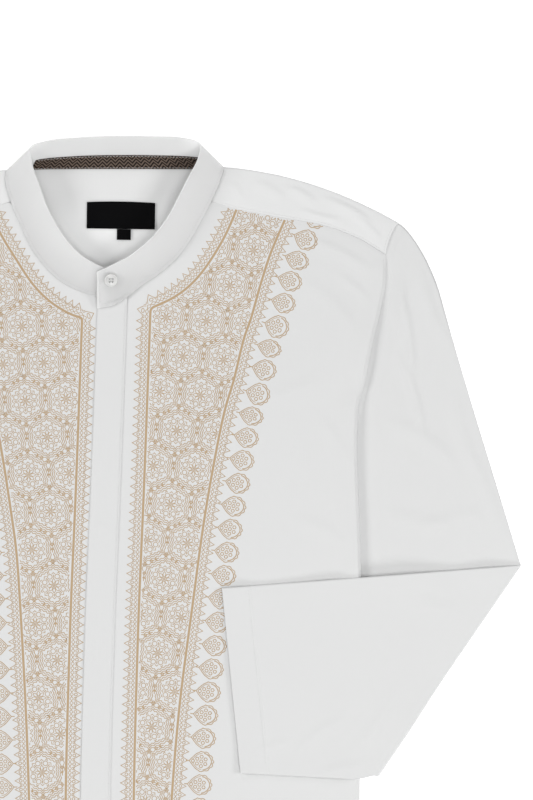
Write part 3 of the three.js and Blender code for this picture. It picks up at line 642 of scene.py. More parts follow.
NEAR_EDGE = np.array([0.0, 0.4, 1.0, 2.0, 3.4, 5.2, 7.5])  # columns beside a side edge, in mm
EDGE_SWELL = 2.2  # height of the body's rounded side over the sleeve
ARMHOLE_SWELL = 1.3
BODY_HEM = 20.0
UNDER_YOKE = 3.0  # the fronts run in under the yoke's edge
UNDER_COLLAR = 1.0  # and under the collar's
YOKE_DIP, COLLAR_DIP = 0.5, 0.35  # how far they sink to pass under the two
SEAM_DIP = 0.16  # how far a row of stitches draws the cloth in
YOKE_STITCH = 1.7  # from a seam to its row of stitches
PLACKET_STITCH = 1.4
PLACKET_FOLDS = [  # as the rows of CREASES
    (-12, -132, 14, -127, 7, 0.5, 1), (-20, -305, 4, -311, 9, 0.5, -1), (-26, -560, -6, -556, 10, 0.5, 1),
]
NECK_SIDE = (92.5, -0.5)  # where a shoulder line leaves the collar
NECK_SEAM = {
    1: neck_point(np.linspace(YOKE_LEFT, PLACKET_LEFT, 60)),
    -1: neck_point(np.linspace(0, YOKE_RIGHT, 80)),
}


def edge_rows(*parts):
    """Places along a piece: each part is (from, to, count)."""
    return np.unique(np.concatenate([np.linspace(a, b, n + 1) for a, b, n in parts]))


def with_edge(shares, width):
    """Shares up to 1 across a piece of about this width, with more of them near its edge at 1."""
    return np.unique(np.concatenate([shares, 1 - NEAR_EDGE / width]))


def side_gap(p):
    """How far each point lies inside the side edge of the body."""
    return outline_x(p[..., 1]) - np.abs(p[..., 0])


def side_drop(p):
    """The layers of the body draw together at the side seam, and less at the armhole seam."""
    share = 1 - ease(side_gap(p) / 3.5)
    return share * np.where(p[..., 1] < SIDE_TOP - 4, 0.65, 0.1)


def on_hem(y):
    """1 on the turned hem of the body, 0 above it."""
    return 1 - ease((y - HEM_Y - BODY_HEM) / 1.2)


def back(half_width=212.0):
    """The back panel, from its yoke seam down to the hem."""
    heights = edge_rows((YOKE_BACK_Y - 0.3, -420, 90), (-420, HEM_Y + 4, 60), (HEM_Y + 4, HEM_Y, 4))[::-1]
    half = with_edge(np.linspace(0, 1 - NEAR_EDGE[-1] / half_width, 44), half_width)
    across = np.concatenate([-half[:0:-1], half])
    plan = xy(outline_x(heights)[:, None] * across, heights[:, None])
    z = BACK_LEVEL + body_lift(plan) + side_drop(plan)
    return cloth("back_panel", np.dstack([plan, z]), plan, COTTON, node="back")


def front_plan(side, u, v):
    """The front's cloth seen from above: u across from the placket, v down from the yoke seam."""
    first, last = (PLACKET_LEFT, YOKE_LEFT) if side > 0 else (0, YOKE_RIGHT)
    split = abs(last - first) / (abs(last - first) + 7)  # share of the columns that start at the neck
    corner = neck_point(np.array([last]))[0]
    rows = between(first, last, np.clip(u / split, 0, 1))
    neck = neck_point(rows)
    inwards = unit(top_line(rows)[..., :2] - neck)
    x = between(abs(corner[0]), SEAM_END[1], np.clip((u - split) / (1 - split), 0, 1))
    under_yoke = xy(side * x, yoke_seam_y(x) + UNDER_YOKE)
    top = np.where((u < split)[:, None], neck + inwards * UNDER_COLLAR, under_yoke)
    y = between(SEAM_END[0] - 0.3, HEM_Y, v)
    outer = xy(side * outline_x(y), y)
    y = between(top[0][1], HEM_Y, v)
    settled = np.minimum(1, v * 12)
    inner = xy(between(top[0][0], middle_x(y) + FRONT_EDGE[side], settled), y)
    bottom = between(inner[-1], outer[-1], u[:, None])
    return coons(top, bottom, inner, outer, u, v)


def front_height(side, plan):
    """Middle of the fronts' cloth."""
    x, y = plan[..., 0], plan[..., 1]
    lift, gap = body_lift(plan), side_gap(plan)
    z = FRONT_LEVEL + lift - side_drop(plan)
    below = yoke_seam_y(x) - y
    on_yoke_seam = np.abs(x) > abs(NECK_SEAM[side][0 if side > 0 else -1][0]) - 2
    z -= np.where(on_yoke_seam, YOKE_DIP * (1 - ease(below / 4)), 0)
    from_neck = distance_to(plan, NECK_SEAM[side])
    z -= COLLAR_DIP * (1 - ease(from_neck / 4))
    from_placket = np.abs(x - middle_x(y)) - PLACKET_HALF
    free = ease(from_neck / 14) * ease(from_placket / 22) * ease((below - 1) / 9)
    z += relief(plan, "front", side) * free * (1 - 0.7 * on_hem(y))
    # The cloth swells a little before it turns in at the side over the sleeve.
    turn_in = ease(gap / 2.4) * ease((24 - gap) / 20)
    z += EDGE_SWELL * lift / LIFT * turn_in * ease((SIDE_TOP - y) / 30)
    # It also stands up a little along the armhole seam.
    armhole = ease((SEAM_END[0] - 2 - y) / 14) * ease((y - SIDE_TOP + 12) / 24)
    z += ARMHOLE_SWELL * armhole * ease((gap - 0.3) / 2.6) * ease((20 - gap) / 16)
    return z


def front(side, name):
    """One front, from the yoke seam and the collar down to the hem."""
    u = with_edge(np.linspace(0, 1, 84), 230)
    v = edge_rows((0, 0.012, 5), (0.012, 0.5, 110), (0.5, 0.99, 75), (0.99, 1, 4))
    plan = front_plan(side, u, v)
    z = front_height(side, plan)
    return cloth(name + "_cloth", np.dstack([plan, z]), plan, COTTON, node=name, flip=side < 0)


def fall(share):
    """How far a shoulder has fallen at a share of the way out from the neck."""
    return SHOULDER_FALL * share + (1 - SHOULDER_FALL) * share * share


def shoulder(side, share):
    """The line of a shoulder, from the neck seam out to its tip."""
    start = neck_point(np.array([NECK_LEFT if side > 0 else NECK_RIGHT]))[0]
    end = np.array([side * SHOULDER_TIP[0], SHOULDER_TIP[1]])
    return xy(between(start[0], end[0], share), between(start[1], end[1], fall(share)))


def shoulder_y(x):
    """Height of the shoulder line on the picture at a distance from the middle."""
    share = np.clip((x - NECK_SIDE[0]) / (SHOULDER_TIP[0] - NECK_SIDE[0]), 0, 1)
    return between(NECK_SIDE[1], SHOULDER_TIP[1], fall(share))


def to_armhole(top, x, y):
    """x of a row of the yoke under its top row, where both ends keep to the armhole seams."""
    at_tip = np.abs(top[:, 0]) > SHOULDER_TIP[0] - 1e-6
    return np.where(at_tip, np.sign(top[:, 0]) * outline_x(y), x)


def yoke_back_rows(top, in_neck):
    """Rows of the yoke's back, from its seam up to its top row, where in_neck marks the neck seam."""
    bottom_x = outline_x(YOKE_BACK_Y) / SHOULDER_TIP[0] * top[:, 0]
    fold = np.where(in_neck, 0, PAIR / 2)
    rows = []
    for share in edge_rows((0, 0.06, 4), (0.06, 0.94, 30), (0.94, 1, 3)):
        y = between(YOKE_BACK_Y, top[:, 1] - fold, share)
        x = to_armhole(top, between(bottom_x, top[:, 0], share), y)
        rows.append(np.column_stack([x, y, np.full(len(top), BACK_LEVEL)]))
    return rows


def shoulder_fold_rows(top):
    """Rows round the fold of the shoulders."""
    rows = []
    for angle in np.radians([-54, -18, 18, 54]):
        y = top[:, 1] - PAIR / 2 + TUBE * math.cos(angle)
        z = PAIR / 2 + TUBE * math.sin(angle)
        rows.append(np.column_stack([to_armhole(top, top[:, 0], y), y, np.full(len(top), z)]))
    return rows


def yoke_front_plan(side, u, v):
    """The yoke's front seen from above: u out along the shoulder, v down to the front yoke seam."""
    upper = shoulder(side, u) - [0, PAIR / 2]
    neck_row, seam_row = (NECK_LEFT, YOKE_LEFT) if side > 0 else (NECK_RIGHT, YOKE_RIGHT)
    inner = neck_point(between(neck_row, seam_row, v)) + np.array([side * 0.3, -PAIR / 2]) * (1 - v)[:, None]
    x = between(abs(inner[-1][0]), SEAM_END[1], u)
    lower = xy(side * x, yoke_seam_y(x))
    y = between(upper[-1][1], SEAM_END[0], v)
    outer = xy(side * outline_x(y), y)
    outer[0] = upper[-1]
    return coons(upper, lower, inner, outer, u, v)


def yoke_front_height(plan):
    """Middle of the cloth of the yoke's front."""
    x, y = plan[..., 0], plan[..., 1]
    above = y - yoke_seam_y(x)
    z = YOKE_LEVEL - 0.1 * (1 - ease(side_gap(plan) / 3.5)) - SEAM_DIP * hump(above - YOKE_STITCH, 0.8)
    creases = np.where(x > 0, relief(plan, "yoke", 1), relief(plan, "yoke", -1))
    # No creases at the fold of the shoulder, and few at the seam and the collar.
    fold_gap = shoulder_y(np.abs(x)) - y
    return z + creases * ease(fold_gap / 9) * ease(above / 7) * ease((np.abs(x) - 92) / 12)


def yoke():
    """One piece: the back of the yoke, over the shoulders, and down to the front yoke seams."""
    u, v = with_edge(np.linspace(0, 1, 46), 160), edge_rows((0, 0.9, 22), (0.9, 1, 4))
    neck = neck_point(np.linspace(NECK_RIGHT, NECK_LEFT, 67))[1:-1]
    top = np.vstack([shoulder(-1, u)[::-1], neck, shoulder(1, u)])
    in_neck = np.zeros(len(top), bool)
    in_neck[len(u) : -len(u)] = True
    back_rows = yoke_back_rows(top, in_neck)
    rows = back_rows + shoulder_fold_rows(top)
    for left, right in zip(yoke_front_plan(1, u, v), yoke_front_plan(-1, u, v)):
        plan = np.vstack([right[::-1], np.zeros_like(neck), left])
        rows.append(np.column_stack([plan, yoke_front_height(plan)]))
    grid = np.array(rows)
    # Below the neck seam there is cloth on both sides only.
    has = np.ones((len(rows) - 1, len(top) - 1), bool)
    has[len(back_rows) - 1 :, len(u) - 1 : len(top) - len(u)] = False
    lay = grid[..., :2].copy()
    lay[len(back_rows) :] *= [1, -1]
    return cloth("yoke_cloth", grid, lay, COTTON_YOKE, node="yoke", has=has, flip=True)


def placket_height(plan):
    """The placket's strip lies on the left front, where it is sewn, and just over the right front."""
    y = plan[..., 1]
    inside = PLACKET_HALF - (plan[..., 0] - middle_x(y))  # from the sewn edge
    sewn = 1 - ease(inside / 2.2)
    stitched = SEAM_DIP * hump(inside - PLACKET_STITCH, 0.6)
    waves = 0.22 * np.sin(y / 17 + 0.6) * np.sin(y / 41) * ease(inside / 14)
    fold = crease_height(plan, PLACKET_FOLDS) * ease(inside / 6)
    return PLACKET_LEVEL + 0.15 - 0.5 * sewn - stitched + np.maximum(waves, -0.1) + fold


def placket():
    """The strip that covers the buttons, from under the collar to the hem."""
    near_edge = PLACKET_HALF - np.array([0.3, 0.7, 1.1, 1.5, 1.9, 2.6])
    across = np.unique(np.concatenate([np.linspace(-PLACKET_HALF, PLACKET_HALF, 19), near_edge]))
    seam = COLLAR_ROWS[:PLACKET_LEFT - 1:-1]
    top = np.interp(across, seam[:, 0], seam[:, 1]) + UNDER_COLLAR
    v = edge_rows((0, 0.01, 3), (0.01, 0.99, 150), (0.99, 1, 3))
    y = between(top, HEM_Y, v[:, None])
    plan = xy(middle_x(y) + across, y)
    return cloth("placket_strip", np.dstack([plan, placket_height(plan)]), plan, COTTON, node="placket")


# ---------------------------------------------------------------- the collar and what is sewn in the neck

COLLAR_CUT = 33.0  # height of its cloth
COLLAR_BOW = 0.9  # the band swells a little between its edges
STITCHED_END = 25.8  # row of the collar's table that its end's stitches follow
TAPE_OUT = 0.35  # middle of the tape from the face of the collar
LABEL_LEVEL = 1.55
LABEL_DOME = 0.35  # the middle of a label stands up from its sewn ends
UP = np.array([0, 0, 1])


def band(row, up):
    """Middle of the collar's cloth: row along its table, up from 0 at its seam to 1 at its upper edge."""
    low, high = seam_line(row), top_line(row)
    low = low + (COLLAR_RAISE * ease((low[..., 2] - 1.2) / 0.6))[..., None] * UP
    return between(low, high, up[..., None]) + (COLLAR_BOW * np.sin(np.pi * up))[..., None] * UP


def band_normal(row, up):
    """Unit normal of the band, away from the side that faces the neck."""
    r = np.clip(row, 0.05, COLLAR_END - 0.05)
    along = band(r + 0.05, up) - band(r - 0.05, up)
    rise = band(row, np.ones_like(up)) - band(row, np.zeros_like(up))
    return unit(np.cross(rise, along))


def collar():
    """The stand collar, from the end that lies under to the end that lies over."""
    ups = edge_rows((0, 0.16, 8), (0.16, 0.9, 14), (0.9, 1, 5))
    row, up = np.meshgrid(edge_rows((0, 0.2, 3), (0.2, 25.8, 230), (25.8, COLLAR_END, 3)), ups)
    grid = band(row, up)
    lay = xy(distances(grid[0]), ups[:, None] * COLLAR_CUT)
    return cloth("collar_band", grid, lay, COTTON_UPRIGHT, thick=COLLAR_CLOTH, node="collar", flip=True)


def tape_spot(t, w, off=0.0):
    """A point of the tape: t along it and w across it, each from 0 to 1. Also its normal."""
    rows = between(*TAPE["rows"], t)
    high = TAPE["high"] - TAPE["end_drop"] * np.abs(2 * t - 1) ** 3
    ups = between(TAPE["low"], high, w)
    normal = -band_normal(rows, ups)
    spot = band(rows, ups) + normal * (COLLAR_CLOTH / 2 + TAPE_OUT + off)
    # Its lower edge covers the seam and runs out onto the yoke.
    spot[..., 1] -= TAPE["foot"] * (1 - w) ** 2
    return spot, normal


def neck_tape():
    """The herringbone tape over the back neck seam."""
    t, w = np.meshgrid(np.linspace(0, 1, 90), np.linspace(0, 1, 12))
    grid, _ = tape_spot(t, w)
    lay = xy(distances(grid[0]), w * TAPE_WIDTH)
    return cloth("neck_tape_band", grid, lay, TAPE_CLOTH, thick=0.6, node="neck_tape", flip=True)


def tag(name, node, at, bow=0.0):
    """A label on the yoke's inner face. bow lifts the middle of its upper edge."""
    u, v = np.meshgrid(np.linspace(-0.5, 0.5, 31), np.linspace(0.5, -0.5, 13))
    lay = xy(u * at["width"], v * at["height"])
    bowed = lay + xy(0, bow * (1 - (2 * u) ** 2) * (v + 0.5))
    plan = rotated(bowed, math.radians(at["turn"]), (at["x"], at["y"]))
    z = LABEL_LEVEL + LABEL_DOME * np.sin(np.pi * (u + 0.5)) * np.sin(np.pi * (v + 0.5))
    return cloth(name, np.dstack([plan, z]), lay, LABEL_CLOTH, thick=0.35, node=node)


# ---------------------------------------------------------------- the sleeves

SLEEVE_STITCH = 1.6  # from the edge of the turned hem to its stitches
SLEEVE_DIP = 1.15  # how far the upper arm sinks beside the body's edge
CUFF_RISE = 0.3  # height of the turned hem
# Where the flap's upper and lower edge lift, from the opening: place along it, width and height.
FLAP_LIFTS = [(14, 14, 1.8), (96, 30, 1.8), (160, 34, 2.8), (228, 20, 2.2)]
FLAP_LOWER_LIFTS = [(2, 12, 1.8), (40, 18, 1.2), (84, 20, 1.6)]
# Rows beside the opening, in mm from it, with more of them where the turned hem ends.
OPENING_ROWS = (25.2, 24.6, 24.2, 23.8, 23.2, 22.4, 20, 16, 12, 8, 5, 3, 1.5, 0.6, 0)
BENDS = np.array([-60.0, -30, 0, 30, 60])  # angles of the columns round the sleeve's two folds
HIDDEN_ROWS = 3  # how many rows of OUTLINE the hidden part of the armhole seam is as long as


def armhole_edge(plan, u):
    """The sleeve's edge at the armhole, from the shoulder tip at 0 to the underarm at 1."""
    row = u * (GOES_UNDER + HIDDEN_ROWS)
    y = np.interp(row, range(GOES_UNDER + 1), [y for y, _ in OUTLINE[: GOES_UNDER + 1]])
    under = plan.hidden(np.clip((row - GOES_UNDER) / HIDDEN_ROWS, 0, 1))
    return np.where((row <= GOES_UNDER)[:, None], xy(outline_x(y), y), under) + [ARMHOLE_JOINT, 0]


def unfolded_sleeve(plan, u, w):
    """The sleeve before it is folded, seen from above: u round it, w down to the fold."""
    w, u_column = w[:, None], u[:, None]
    ends = armhole_edge(plan, np.array([0.0, 1.0]))
    outer = between(SHOULDER_TIP, plan.fold_start, w) + plan.side * smooth(SLEEVE_BULGE, w)
    outer = outer + [ARMHOLE_JOINT, 0] * (1 - w)
    inner = between(ends[1], plan.fold_stop, w)
    fold_line = between(plan.fold_start, plan.fold_stop, u_column)
    corners = (*ends, plan.fold_start, plan.fold_stop)
    arm = coons(armhole_edge(plan, u), fold_line, outer, inner, u, w[:, 0], corners)
    # The fold's inner end is drawn in a little.
    inset, reach = FOLD_CORNER["inset"] * u_column**12, FOLD_CORNER["reach"]
    past = np.linspace(0, plan.slack, 13)[:, None, None]
    fold = fold_line + plan.run * past * plan.reach - plan.along * inset * hump(past - plan.slack / 2, reach)
    start, end = fold_line + plan.run * plan.slack * plan.reach, between(*plan.opening, u_column)
    length = np.linalg.norm(end - start, axis=1, keepdims=True)
    rows = [(share, SLEEVE_HEM + 2) for share in np.linspace(0, 1, 49)[1:]] + [(1, d) for d in OPENING_ROWS]
    share, from_end = np.array(rows).T[..., None, None]
    share = share * (1 - from_end / length)
    drawn_in = plan.along * inset * hump(share * length + plan.slack / 2, reach)
    return np.vstack([arm, fold, between(start, end, share) - drawn_in])


def sleeve(side, name):
    """One sleeve: a flat tube from the armhole to its opening, folded over at the elbow."""
    plan = SLEEVES[side]
    tube_u = edge_rows((0, 0.02, 3), (0.02, 0.98, 50), (0.98, 1, 3))
    w = edge_rows((0, 0.03, 9), (0.03, 0.96, 62))
    count = len(tube_u)
    u = np.concatenate([tube_u, np.ones(5), tube_u[::-1], np.zeros(5)])
    bend = np.radians(np.concatenate([np.full(count, -90.0), BENDS, np.full(count, 90.0), BENDS[::-1]]))
    spots = unfolded_sleeve(plan, u, w)
    # Places a little further in show which way is out at the tube's two edges, where its cloth turns round.
    outward = unit(spots - unfolded_sleeve(plan, np.where(u < 0.5, 0.02, 0.98), w))
    at_edge = (u == 0) | (u == 1)
    spots = spots + np.where(at_edge, TUBE * np.cos(bend) - TUBE, 0)[:, None] * outward
    travelled = distances(spots)
    pinch = 0.2 + 0.8 * ease(travelled / 13)
    spots = spots - xy(ARMHOLE_TUCK * (1 - ease(travelled / 3)), 0)
    z = PAIR / 2 + TUBE * np.sin(bend) * pinch
    grid = lie(plan, side, spots, z, travelled) * [side, 1, 1]
    lay = xy(distances(spots[len(w) // 2]), travelled)
    return cloth(name + "_tube", grid, lay, COTTON, around=True, node=name, flip=side > 0)


def arm_relief(plan, side, q, past, travelled):
    """The upper arm's top layer: creases, a dip beside the body's edge, none under the flap."""
    clear = ease(-past / 26) * ease(travelled / 9) * ease((-past + 8) / 30)
    off_flap = ease((distance_to(q, plan.flap_top) - 3) / 16)
    beside = np.abs(q[..., 0]) - outline_x(q[..., 1])
    dip = SLEEVE_DIP * hump(np.maximum(beside, 0), 7) * ease((SIDE_TOP + 30 - q[..., 1]) / 25)
    return relief(q * [side, 1], "sleeve", side) * clear * off_flap * ease(beside / 12) - dip


def flap_relief(plan, side, q, past):
    """The flap's top layer: creases, and a turned hem with its stitches."""
    from_opening = distance_to(q, plan.folded_opening)
    hem = CUFF_RISE * (1 - ease((from_opening - SLEEVE_HEM) / 0.9))
    stitched = SEAM_DIP * hump(from_opening - SLEEVE_HEM + SLEEVE_STITCH, 0.7)
    clear = ease((past - plan.slack) / 20) * ease(from_opening / 10)
    return relief(q * [side, 1], "flap", side) * clear * 0.9 + hem - stitched


def edge_lift(q, edge, lifts, reach):
    """How far the cloth stands up along an edge. A lift is its place along it, its width and its height."""
    along = (q - edge[0]) @ unit(edge[1] - edge[0])
    raised = sum(height * hump(along - at, width) for at, width, height in lifts)
    return raised * hump(distance_to(q, edge), reach)


def lie(plan, side, p, z, travelled):
    """Folds points of the unfolded sleeve over at the elbow and lays them on what is there."""
    past = plan.beyond(p)
    before, over = past <= 0, past >= plan.slack
    inwards = (p - plan.axis) @ plan.along / plan.fold_length
    rise = LIFT * ease((inwards - FOLD_RISE[0]) / (FOLD_RISE[1] - FOLD_RISE[0]))
    axis = FOLD_AXIS + rise / 2
    arm = axis - z
    angle = np.pi * np.clip(past / plan.slack, 0, 1)
    turned = p + plan.out * (arm * np.sin(angle) - past)[..., None]
    flat = plan.across_fold(p)
    lift = between(rise, body_lift(flat * [side, 1]), ease((past - plan.slack) / RAMP["fold"]))
    q = np.where(before[..., None], p, np.where(over[..., None], flat, turned))
    height = np.where(before, z, np.where(over, 2 * FOLD_AXIS - z + lift, axis - arm * np.cos(angle)))
    upper = ease((z - PAIR / 2) / TUBE)  # 1 on the layer that is on top before the fold
    raised = edge_lift(q, plan.flap_top, FLAP_LIFTS, 16)
    raised = raised + edge_lift(q, plan.flap_bottom, FLAP_LOWER_LIFTS, 14)
    flap = (1 - upper) * flap_relief(plan, side, q, past) + raised * ease((past - plan.slack) / 8)
    height = height + np.where(before, upper * arm_relief(plan, side, q, past, travelled), 0)
    return np.dstack([q, height + np.where(over, flap, 0)])


# ---------------------------------------------------------------- the button

BUTTON_COLUMNS = 64


def on_button(points):
    """Takes points on the button, with +Z out of its face, to the collar's end."""
    at, up = (f(np.array([BUTTON["row"]]), np.array([BUTTON["up"]]))[0] for f in (band, band_normal))
    side = unit(np.cross([0, 1, 0], up))
    turn = np.stack([side, np.cross(up, side), up], 1)
    return np.asarray(points, float) @ turn.T + at + up * (COLLAR_CLOTH / 2 + 0.2)


def holed_plate(radius, top):
    """The middle of the button: a plate with four round holes, each cut out of its own quarter."""
    near, hole = BUTTON["hole_ring"] * math.sqrt(0.5), BUTTON["hole"]
    # Outline of a quarter: its arc, then its two straight edges, in to the middle and out again.
    arc, spoke = np.linspace(0, np.pi / 2, BUTTON_COLUMNS // 4 + 1), np.linspace(1, 0, 7)[:, None]
    outline = np.vstack([
        radius * xy(np.cos(arc), np.sin(arc)), (spoke * [0, radius])[1:], (spoke[::-1] * [radius, 0])[1:-1]])
    way = np.arctan2(outline[:, 1] - near, outline[:, 0] - near)
    round_hole = near + hole * xy(np.cos(way), np.sin(way))
    rings = [(outline, 0), (outline, top), (round_hole, top), (round_hole, 0)]
    count = len(outline)
    quads = grid_quads(len(rings), count, around=True)
    # The side walls of neighbouring quarters touch, so each has only its top, its hole and its bottom.
    here, there = quads[:count, 0], quads[:count, 3]
    bottom = np.stack([here, there, there % count + 3 * count, here % count + 3 * count], -1)
    quarter = np.vstack([quads[count:], bottom])
    points = [
        np.column_stack([rotated(ring, turn * math.pi / 2), np.full(count, z)])
        for turn in range(4) for ring, z in rings
    ]
    return np.vstack(points), np.vstack([quarter + turn * len(rings) * count for turn in range(4)])


def button():
    """A dished disc with a rounded rim and four holes, on the outer face of the collar's upper end."""
    r, t, rim = BUTTON["radius"], BUTTON["thickness"], BUTTON["rim"]
    floor_at, edge = t - BUTTON["dish"], r - rim
    plate = BUTTON["hole_ring"] + BUTTON["hole"] + 0.35  # radius of the middle, which has the holes
    profile = [
        (plate, 0), (r - 1.1, 0), (r - 0.5, 0.25), (r - 0.15, 0.7), (r, t / 2), (r - 0.12, t - 0.55),
        (r - 0.4, t - 0.15), (edge + rim / 2, t), (edge, t - 0.12), (edge - 0.45, t - 0.45),
        (edge - 0.8, floor_at), (plate, floor_at),
    ]
    angles = np.linspace(0, 2 * np.pi, BUTTON_COLUMNS, endpoint=False)
    ring = xy(np.cos(angles), np.sin(angles))
    rows = [np.column_stack([radius * ring, np.full(len(ring), height)]) for radius, height in profile]
    plate_points, plate_faces = holed_plate(plate, floor_at)
    sides = grid_quads(len(profile), len(ring), around=True)
    faces = np.vstack([sides, plate_faces + len(profile) * len(ring)])
    points = np.vstack([*rows, plate_points])
    return piece("button_disc", on_button(points), faces, PEARL, lay=points, replaces=["button"])


# ---------------------------------------------------------------- the shirt

PIECES = {
    "back": back(),
    "yoke": yoke(),
    "front_left": front(1, "front_left"),
    "front_right": front(-1, "front_right"),
    "placket": placket(),
    "collar": collar(),
    "neck_tape": neck_tape(),
    "label": tag("label_patch", "label", LABEL, bow=0.8),
    "size_tab": tag("size_tab_patch", "size_tab", SIZE_TAB),
    "sleeve_left": sleeve(1, "sleeve_left"),
    "sleeve_right": sleeve(-1, "sleeve_right"),
    "button": button(),
}

# ---------------------------------------------------------------- the print

# A tan print of flowers, lozenges and leaves on both fronts, inside two border lines, with toothed edgings
# and a row of leaves outside. x is measured outwards from the middle of the shirt, on each side.
PANEL_GAP = {1: 33.0, -1: 25.5}  # from the placket's middle to the inner border line
PANEL_NECK = {  # (y, x) of the inner border line round the collar
    1: [(-24, 111), (-35.9, 106.1), (-49.9, 100.3), (-60.4, 95.2), (-76, 86), (-89.6, 76.5),
        (-102.4, 64.5), (-112.4, 50.3), (-117.4, 39.6), (-120.4, 33.1)],
    -1: [(-24, 110), (-35.9, 105.5), (-55.4, 97.2), (-79.1, 82.9), (-100.3, 68.6), (-114.6, 54.4),
         (-123.8, 40.2), (-128.1, 30.6)],
}
PANEL_OUTER = {  # (y, x) of the outer border line
    1: [(-30, 154), (-43.7, 148.2), (-61.9, 140.2), (-75.7, 134.7), (-103.2, 126), (-128.5, 118.9),
        (-147.1, 112.5), (-182.3, 103.9), (-207.8, 96.3), (-246.5, 88.2), (-303.6, 78.3), (-371.5, 69),
        (-472.6, 56.2), (-543.5, 50.4), (HEM_Y, 40)],
    -1: [(-30, 154), (-43.7, 148.6), (-75.7, 136), (-128.5, 121.5), (-182.3, 108), (-239.1, 96.5),
         (-289, 88.6), (-332, 82.9), (-371.5, 80.1), (-479.9, 74.4), (-543.5, 72.2), (HEM_Y, 68)],
}
BORDER_WIDTH = 2.0
LINE = 0.62  # width of a printed line
LATTICE = {1: ((54.8, -225.8), -4.9), -1: ((56.6, -231.3), -2.6)}  # a flower's middle, and the lattice's lean
FLOWER_STEP = (35.0, 32.0)  # between flowers in a row, and between rows, which are staggered
PRINT_ABOVE = 0.05  # the print's lowest stroke over the cloth
PRINT_STEP = 0.012  # strokes that cross lie at different heights


def inner_x(side, y):
    """The inner border line: round the collar, then down beside the placket."""
    corner = PANEL_NECK[side][-1][0]
    return np.where(y > corner, smooth(PANEL_NECK[side], y), side * middle_x(y) + PANEL_GAP[side])


def resample(route, step):
    """The route as points that lie about one step apart."""
    places = distances(route)
    at = np.linspace(0, places[-1], max(2, int(round(places[-1] / step)) + 1))
    return sampled(at, places, route)


def evened(route, count):
    """Each point moved to the mean of the count points round it."""
    padded = np.pad(route, ((count // 2, count // 2), (0, 0)), "edge")
    return np.stack([np.convolve(column, np.ones(count) / count, "valid") for column in padded.T], -1)


def border_routes(side):
    """The middles of the two border lines."""
    corner = PANEL_NECK[side][-1][0]
    y = np.concatenate([np.arange(-24, corner, -0.5), np.arange(corner, HEM_Y + 1, -2.0)])
    inner = evened(resample(xy(inner_x(side, y), y), 1.0), 7)  # which rounds the corner by the collar
    y = np.arange(-30, HEM_Y + 1, -2.0)
    outer = xy(smooth(PANEL_OUTER[side], y), y)
    return resample(inner, 2.0), resample(outer, 2.0)


def circle(x, y, radius, n=8):
    """A closed ring of n short lines."""
    angle = np.linspace(0, 2 * np.pi, n + 1)
    return xy(x + radius * np.cos(angle), y + radius * np.sin(angle))


def diamond(x, y, half, tall=None):
    """A closed square on its corner, or a lozenge."""
    tall = tall or half
    return np.array([(x + half, y), (x, y + tall), (x - half, y), (x, y - tall), (x + half, y)])


def lens(start, length, half):
    """A pointed petal that lies along x."""
    share = np.array([(0, 0), (0.22, 0.62), (0.5, 1), (0.78, 0.62), (1, 0)])
    share = np.vstack([share, share[-2::-1] * [1, -1]])
    return share * [length, half] + [start, 0]


def spokes(shape, count, first=0.0):
    """Copies of a shape turned about the origin."""
    return [rotated(np.asarray(shape, float), first + 2 * math.pi * k / count) for k in range(count)]


STEPPED = [0.0, 1.4, 0.2, 1.3, 0.4, 1.3, 0.2, 1.4]  # how far the line round a cell steps in, along each side


def cell_corners():
    """Corners of the hexagon that each flower has to itself."""
    px, py = FLOWER_STEP[0] / 2, FLOWER_STEP[1]
    tip = (px**2 + py**2) / (2 * py)
    waist = py - tip
    return np.array([(0, tip), (px, waist), (px, -waist), (0, -tip), (-px, -waist), (-px, waist)])


def flower_cell():
    """The strokes of one cell, each (line, width): a flower and rings, inside nested stepped lines."""
    strokes = [(circle(0, 0, 0.8, 6), LINE)]
    between_petals = math.pi / 8
    for shape, share, first in (
        (lens(1.5, 4.8, 1.3), 0.8, 0),
        (circle(8.4, 0, 2.1), 0.9, between_petals),
        ([(6.9, 0), (9.4, 0)], 1.2, 0),
        ([(9.9, -1.5), (11.3, 0), (9.9, 1.5)], 0.9, 0),
        ([(11.2, -1.2), (12.2, 0), (11.2, 1.2)], 0.9, between_petals),
    ):
        strokes += [(line, LINE * share) for line in spokes(shape, 8, first)]
    corners = cell_corners()
    sides = np.stack([corners, np.roll(corners, -1, 0)], 1)
    share = np.arange(8) / 8
    line = np.vstack([start + (end - start) * share[:, None] for start, end in sides])
    for scale in (0.955, 0.86, 0.765):
        stepped = line * scale - unit(line) * np.tile(STEPPED, 6)[:, None]
        strokes.append((np.vstack([stepped, stepped[:1]]), LINE))
    # Three leaves on a stalk in the gap between two cells, on three of the six sides.
    for k in (0, 1, 5):
        middle, way = sides[k].mean(0), math.atan2(*(sides[k][1] - sides[k][0])[::-1])
        for turn, length in ((0, 3.4), (0.9, 2.4), (-0.9, 2.4)):
            leaf = rotated(np.array([(-0.6, 0), (length * 0.5, 0), (length, 0)]), way + turn, middle)
            strokes.append((leaf, LINE * 1.3))
        strokes.append((rotated(np.array([(-4.0, 0), (0.0, 0)]), way, middle), LINE))
        strokes.append((rotated(diamond(-3.4, 0, 1.5, 1.2), way, middle), LINE * 0.9))
    # Squares in each other at the corners.
    for corner in corners[[0, 1]]:
        strokes += [(diamond(*corner, half), LINE * 0.9) for half in (0.8, 2.0)]
    return strokes


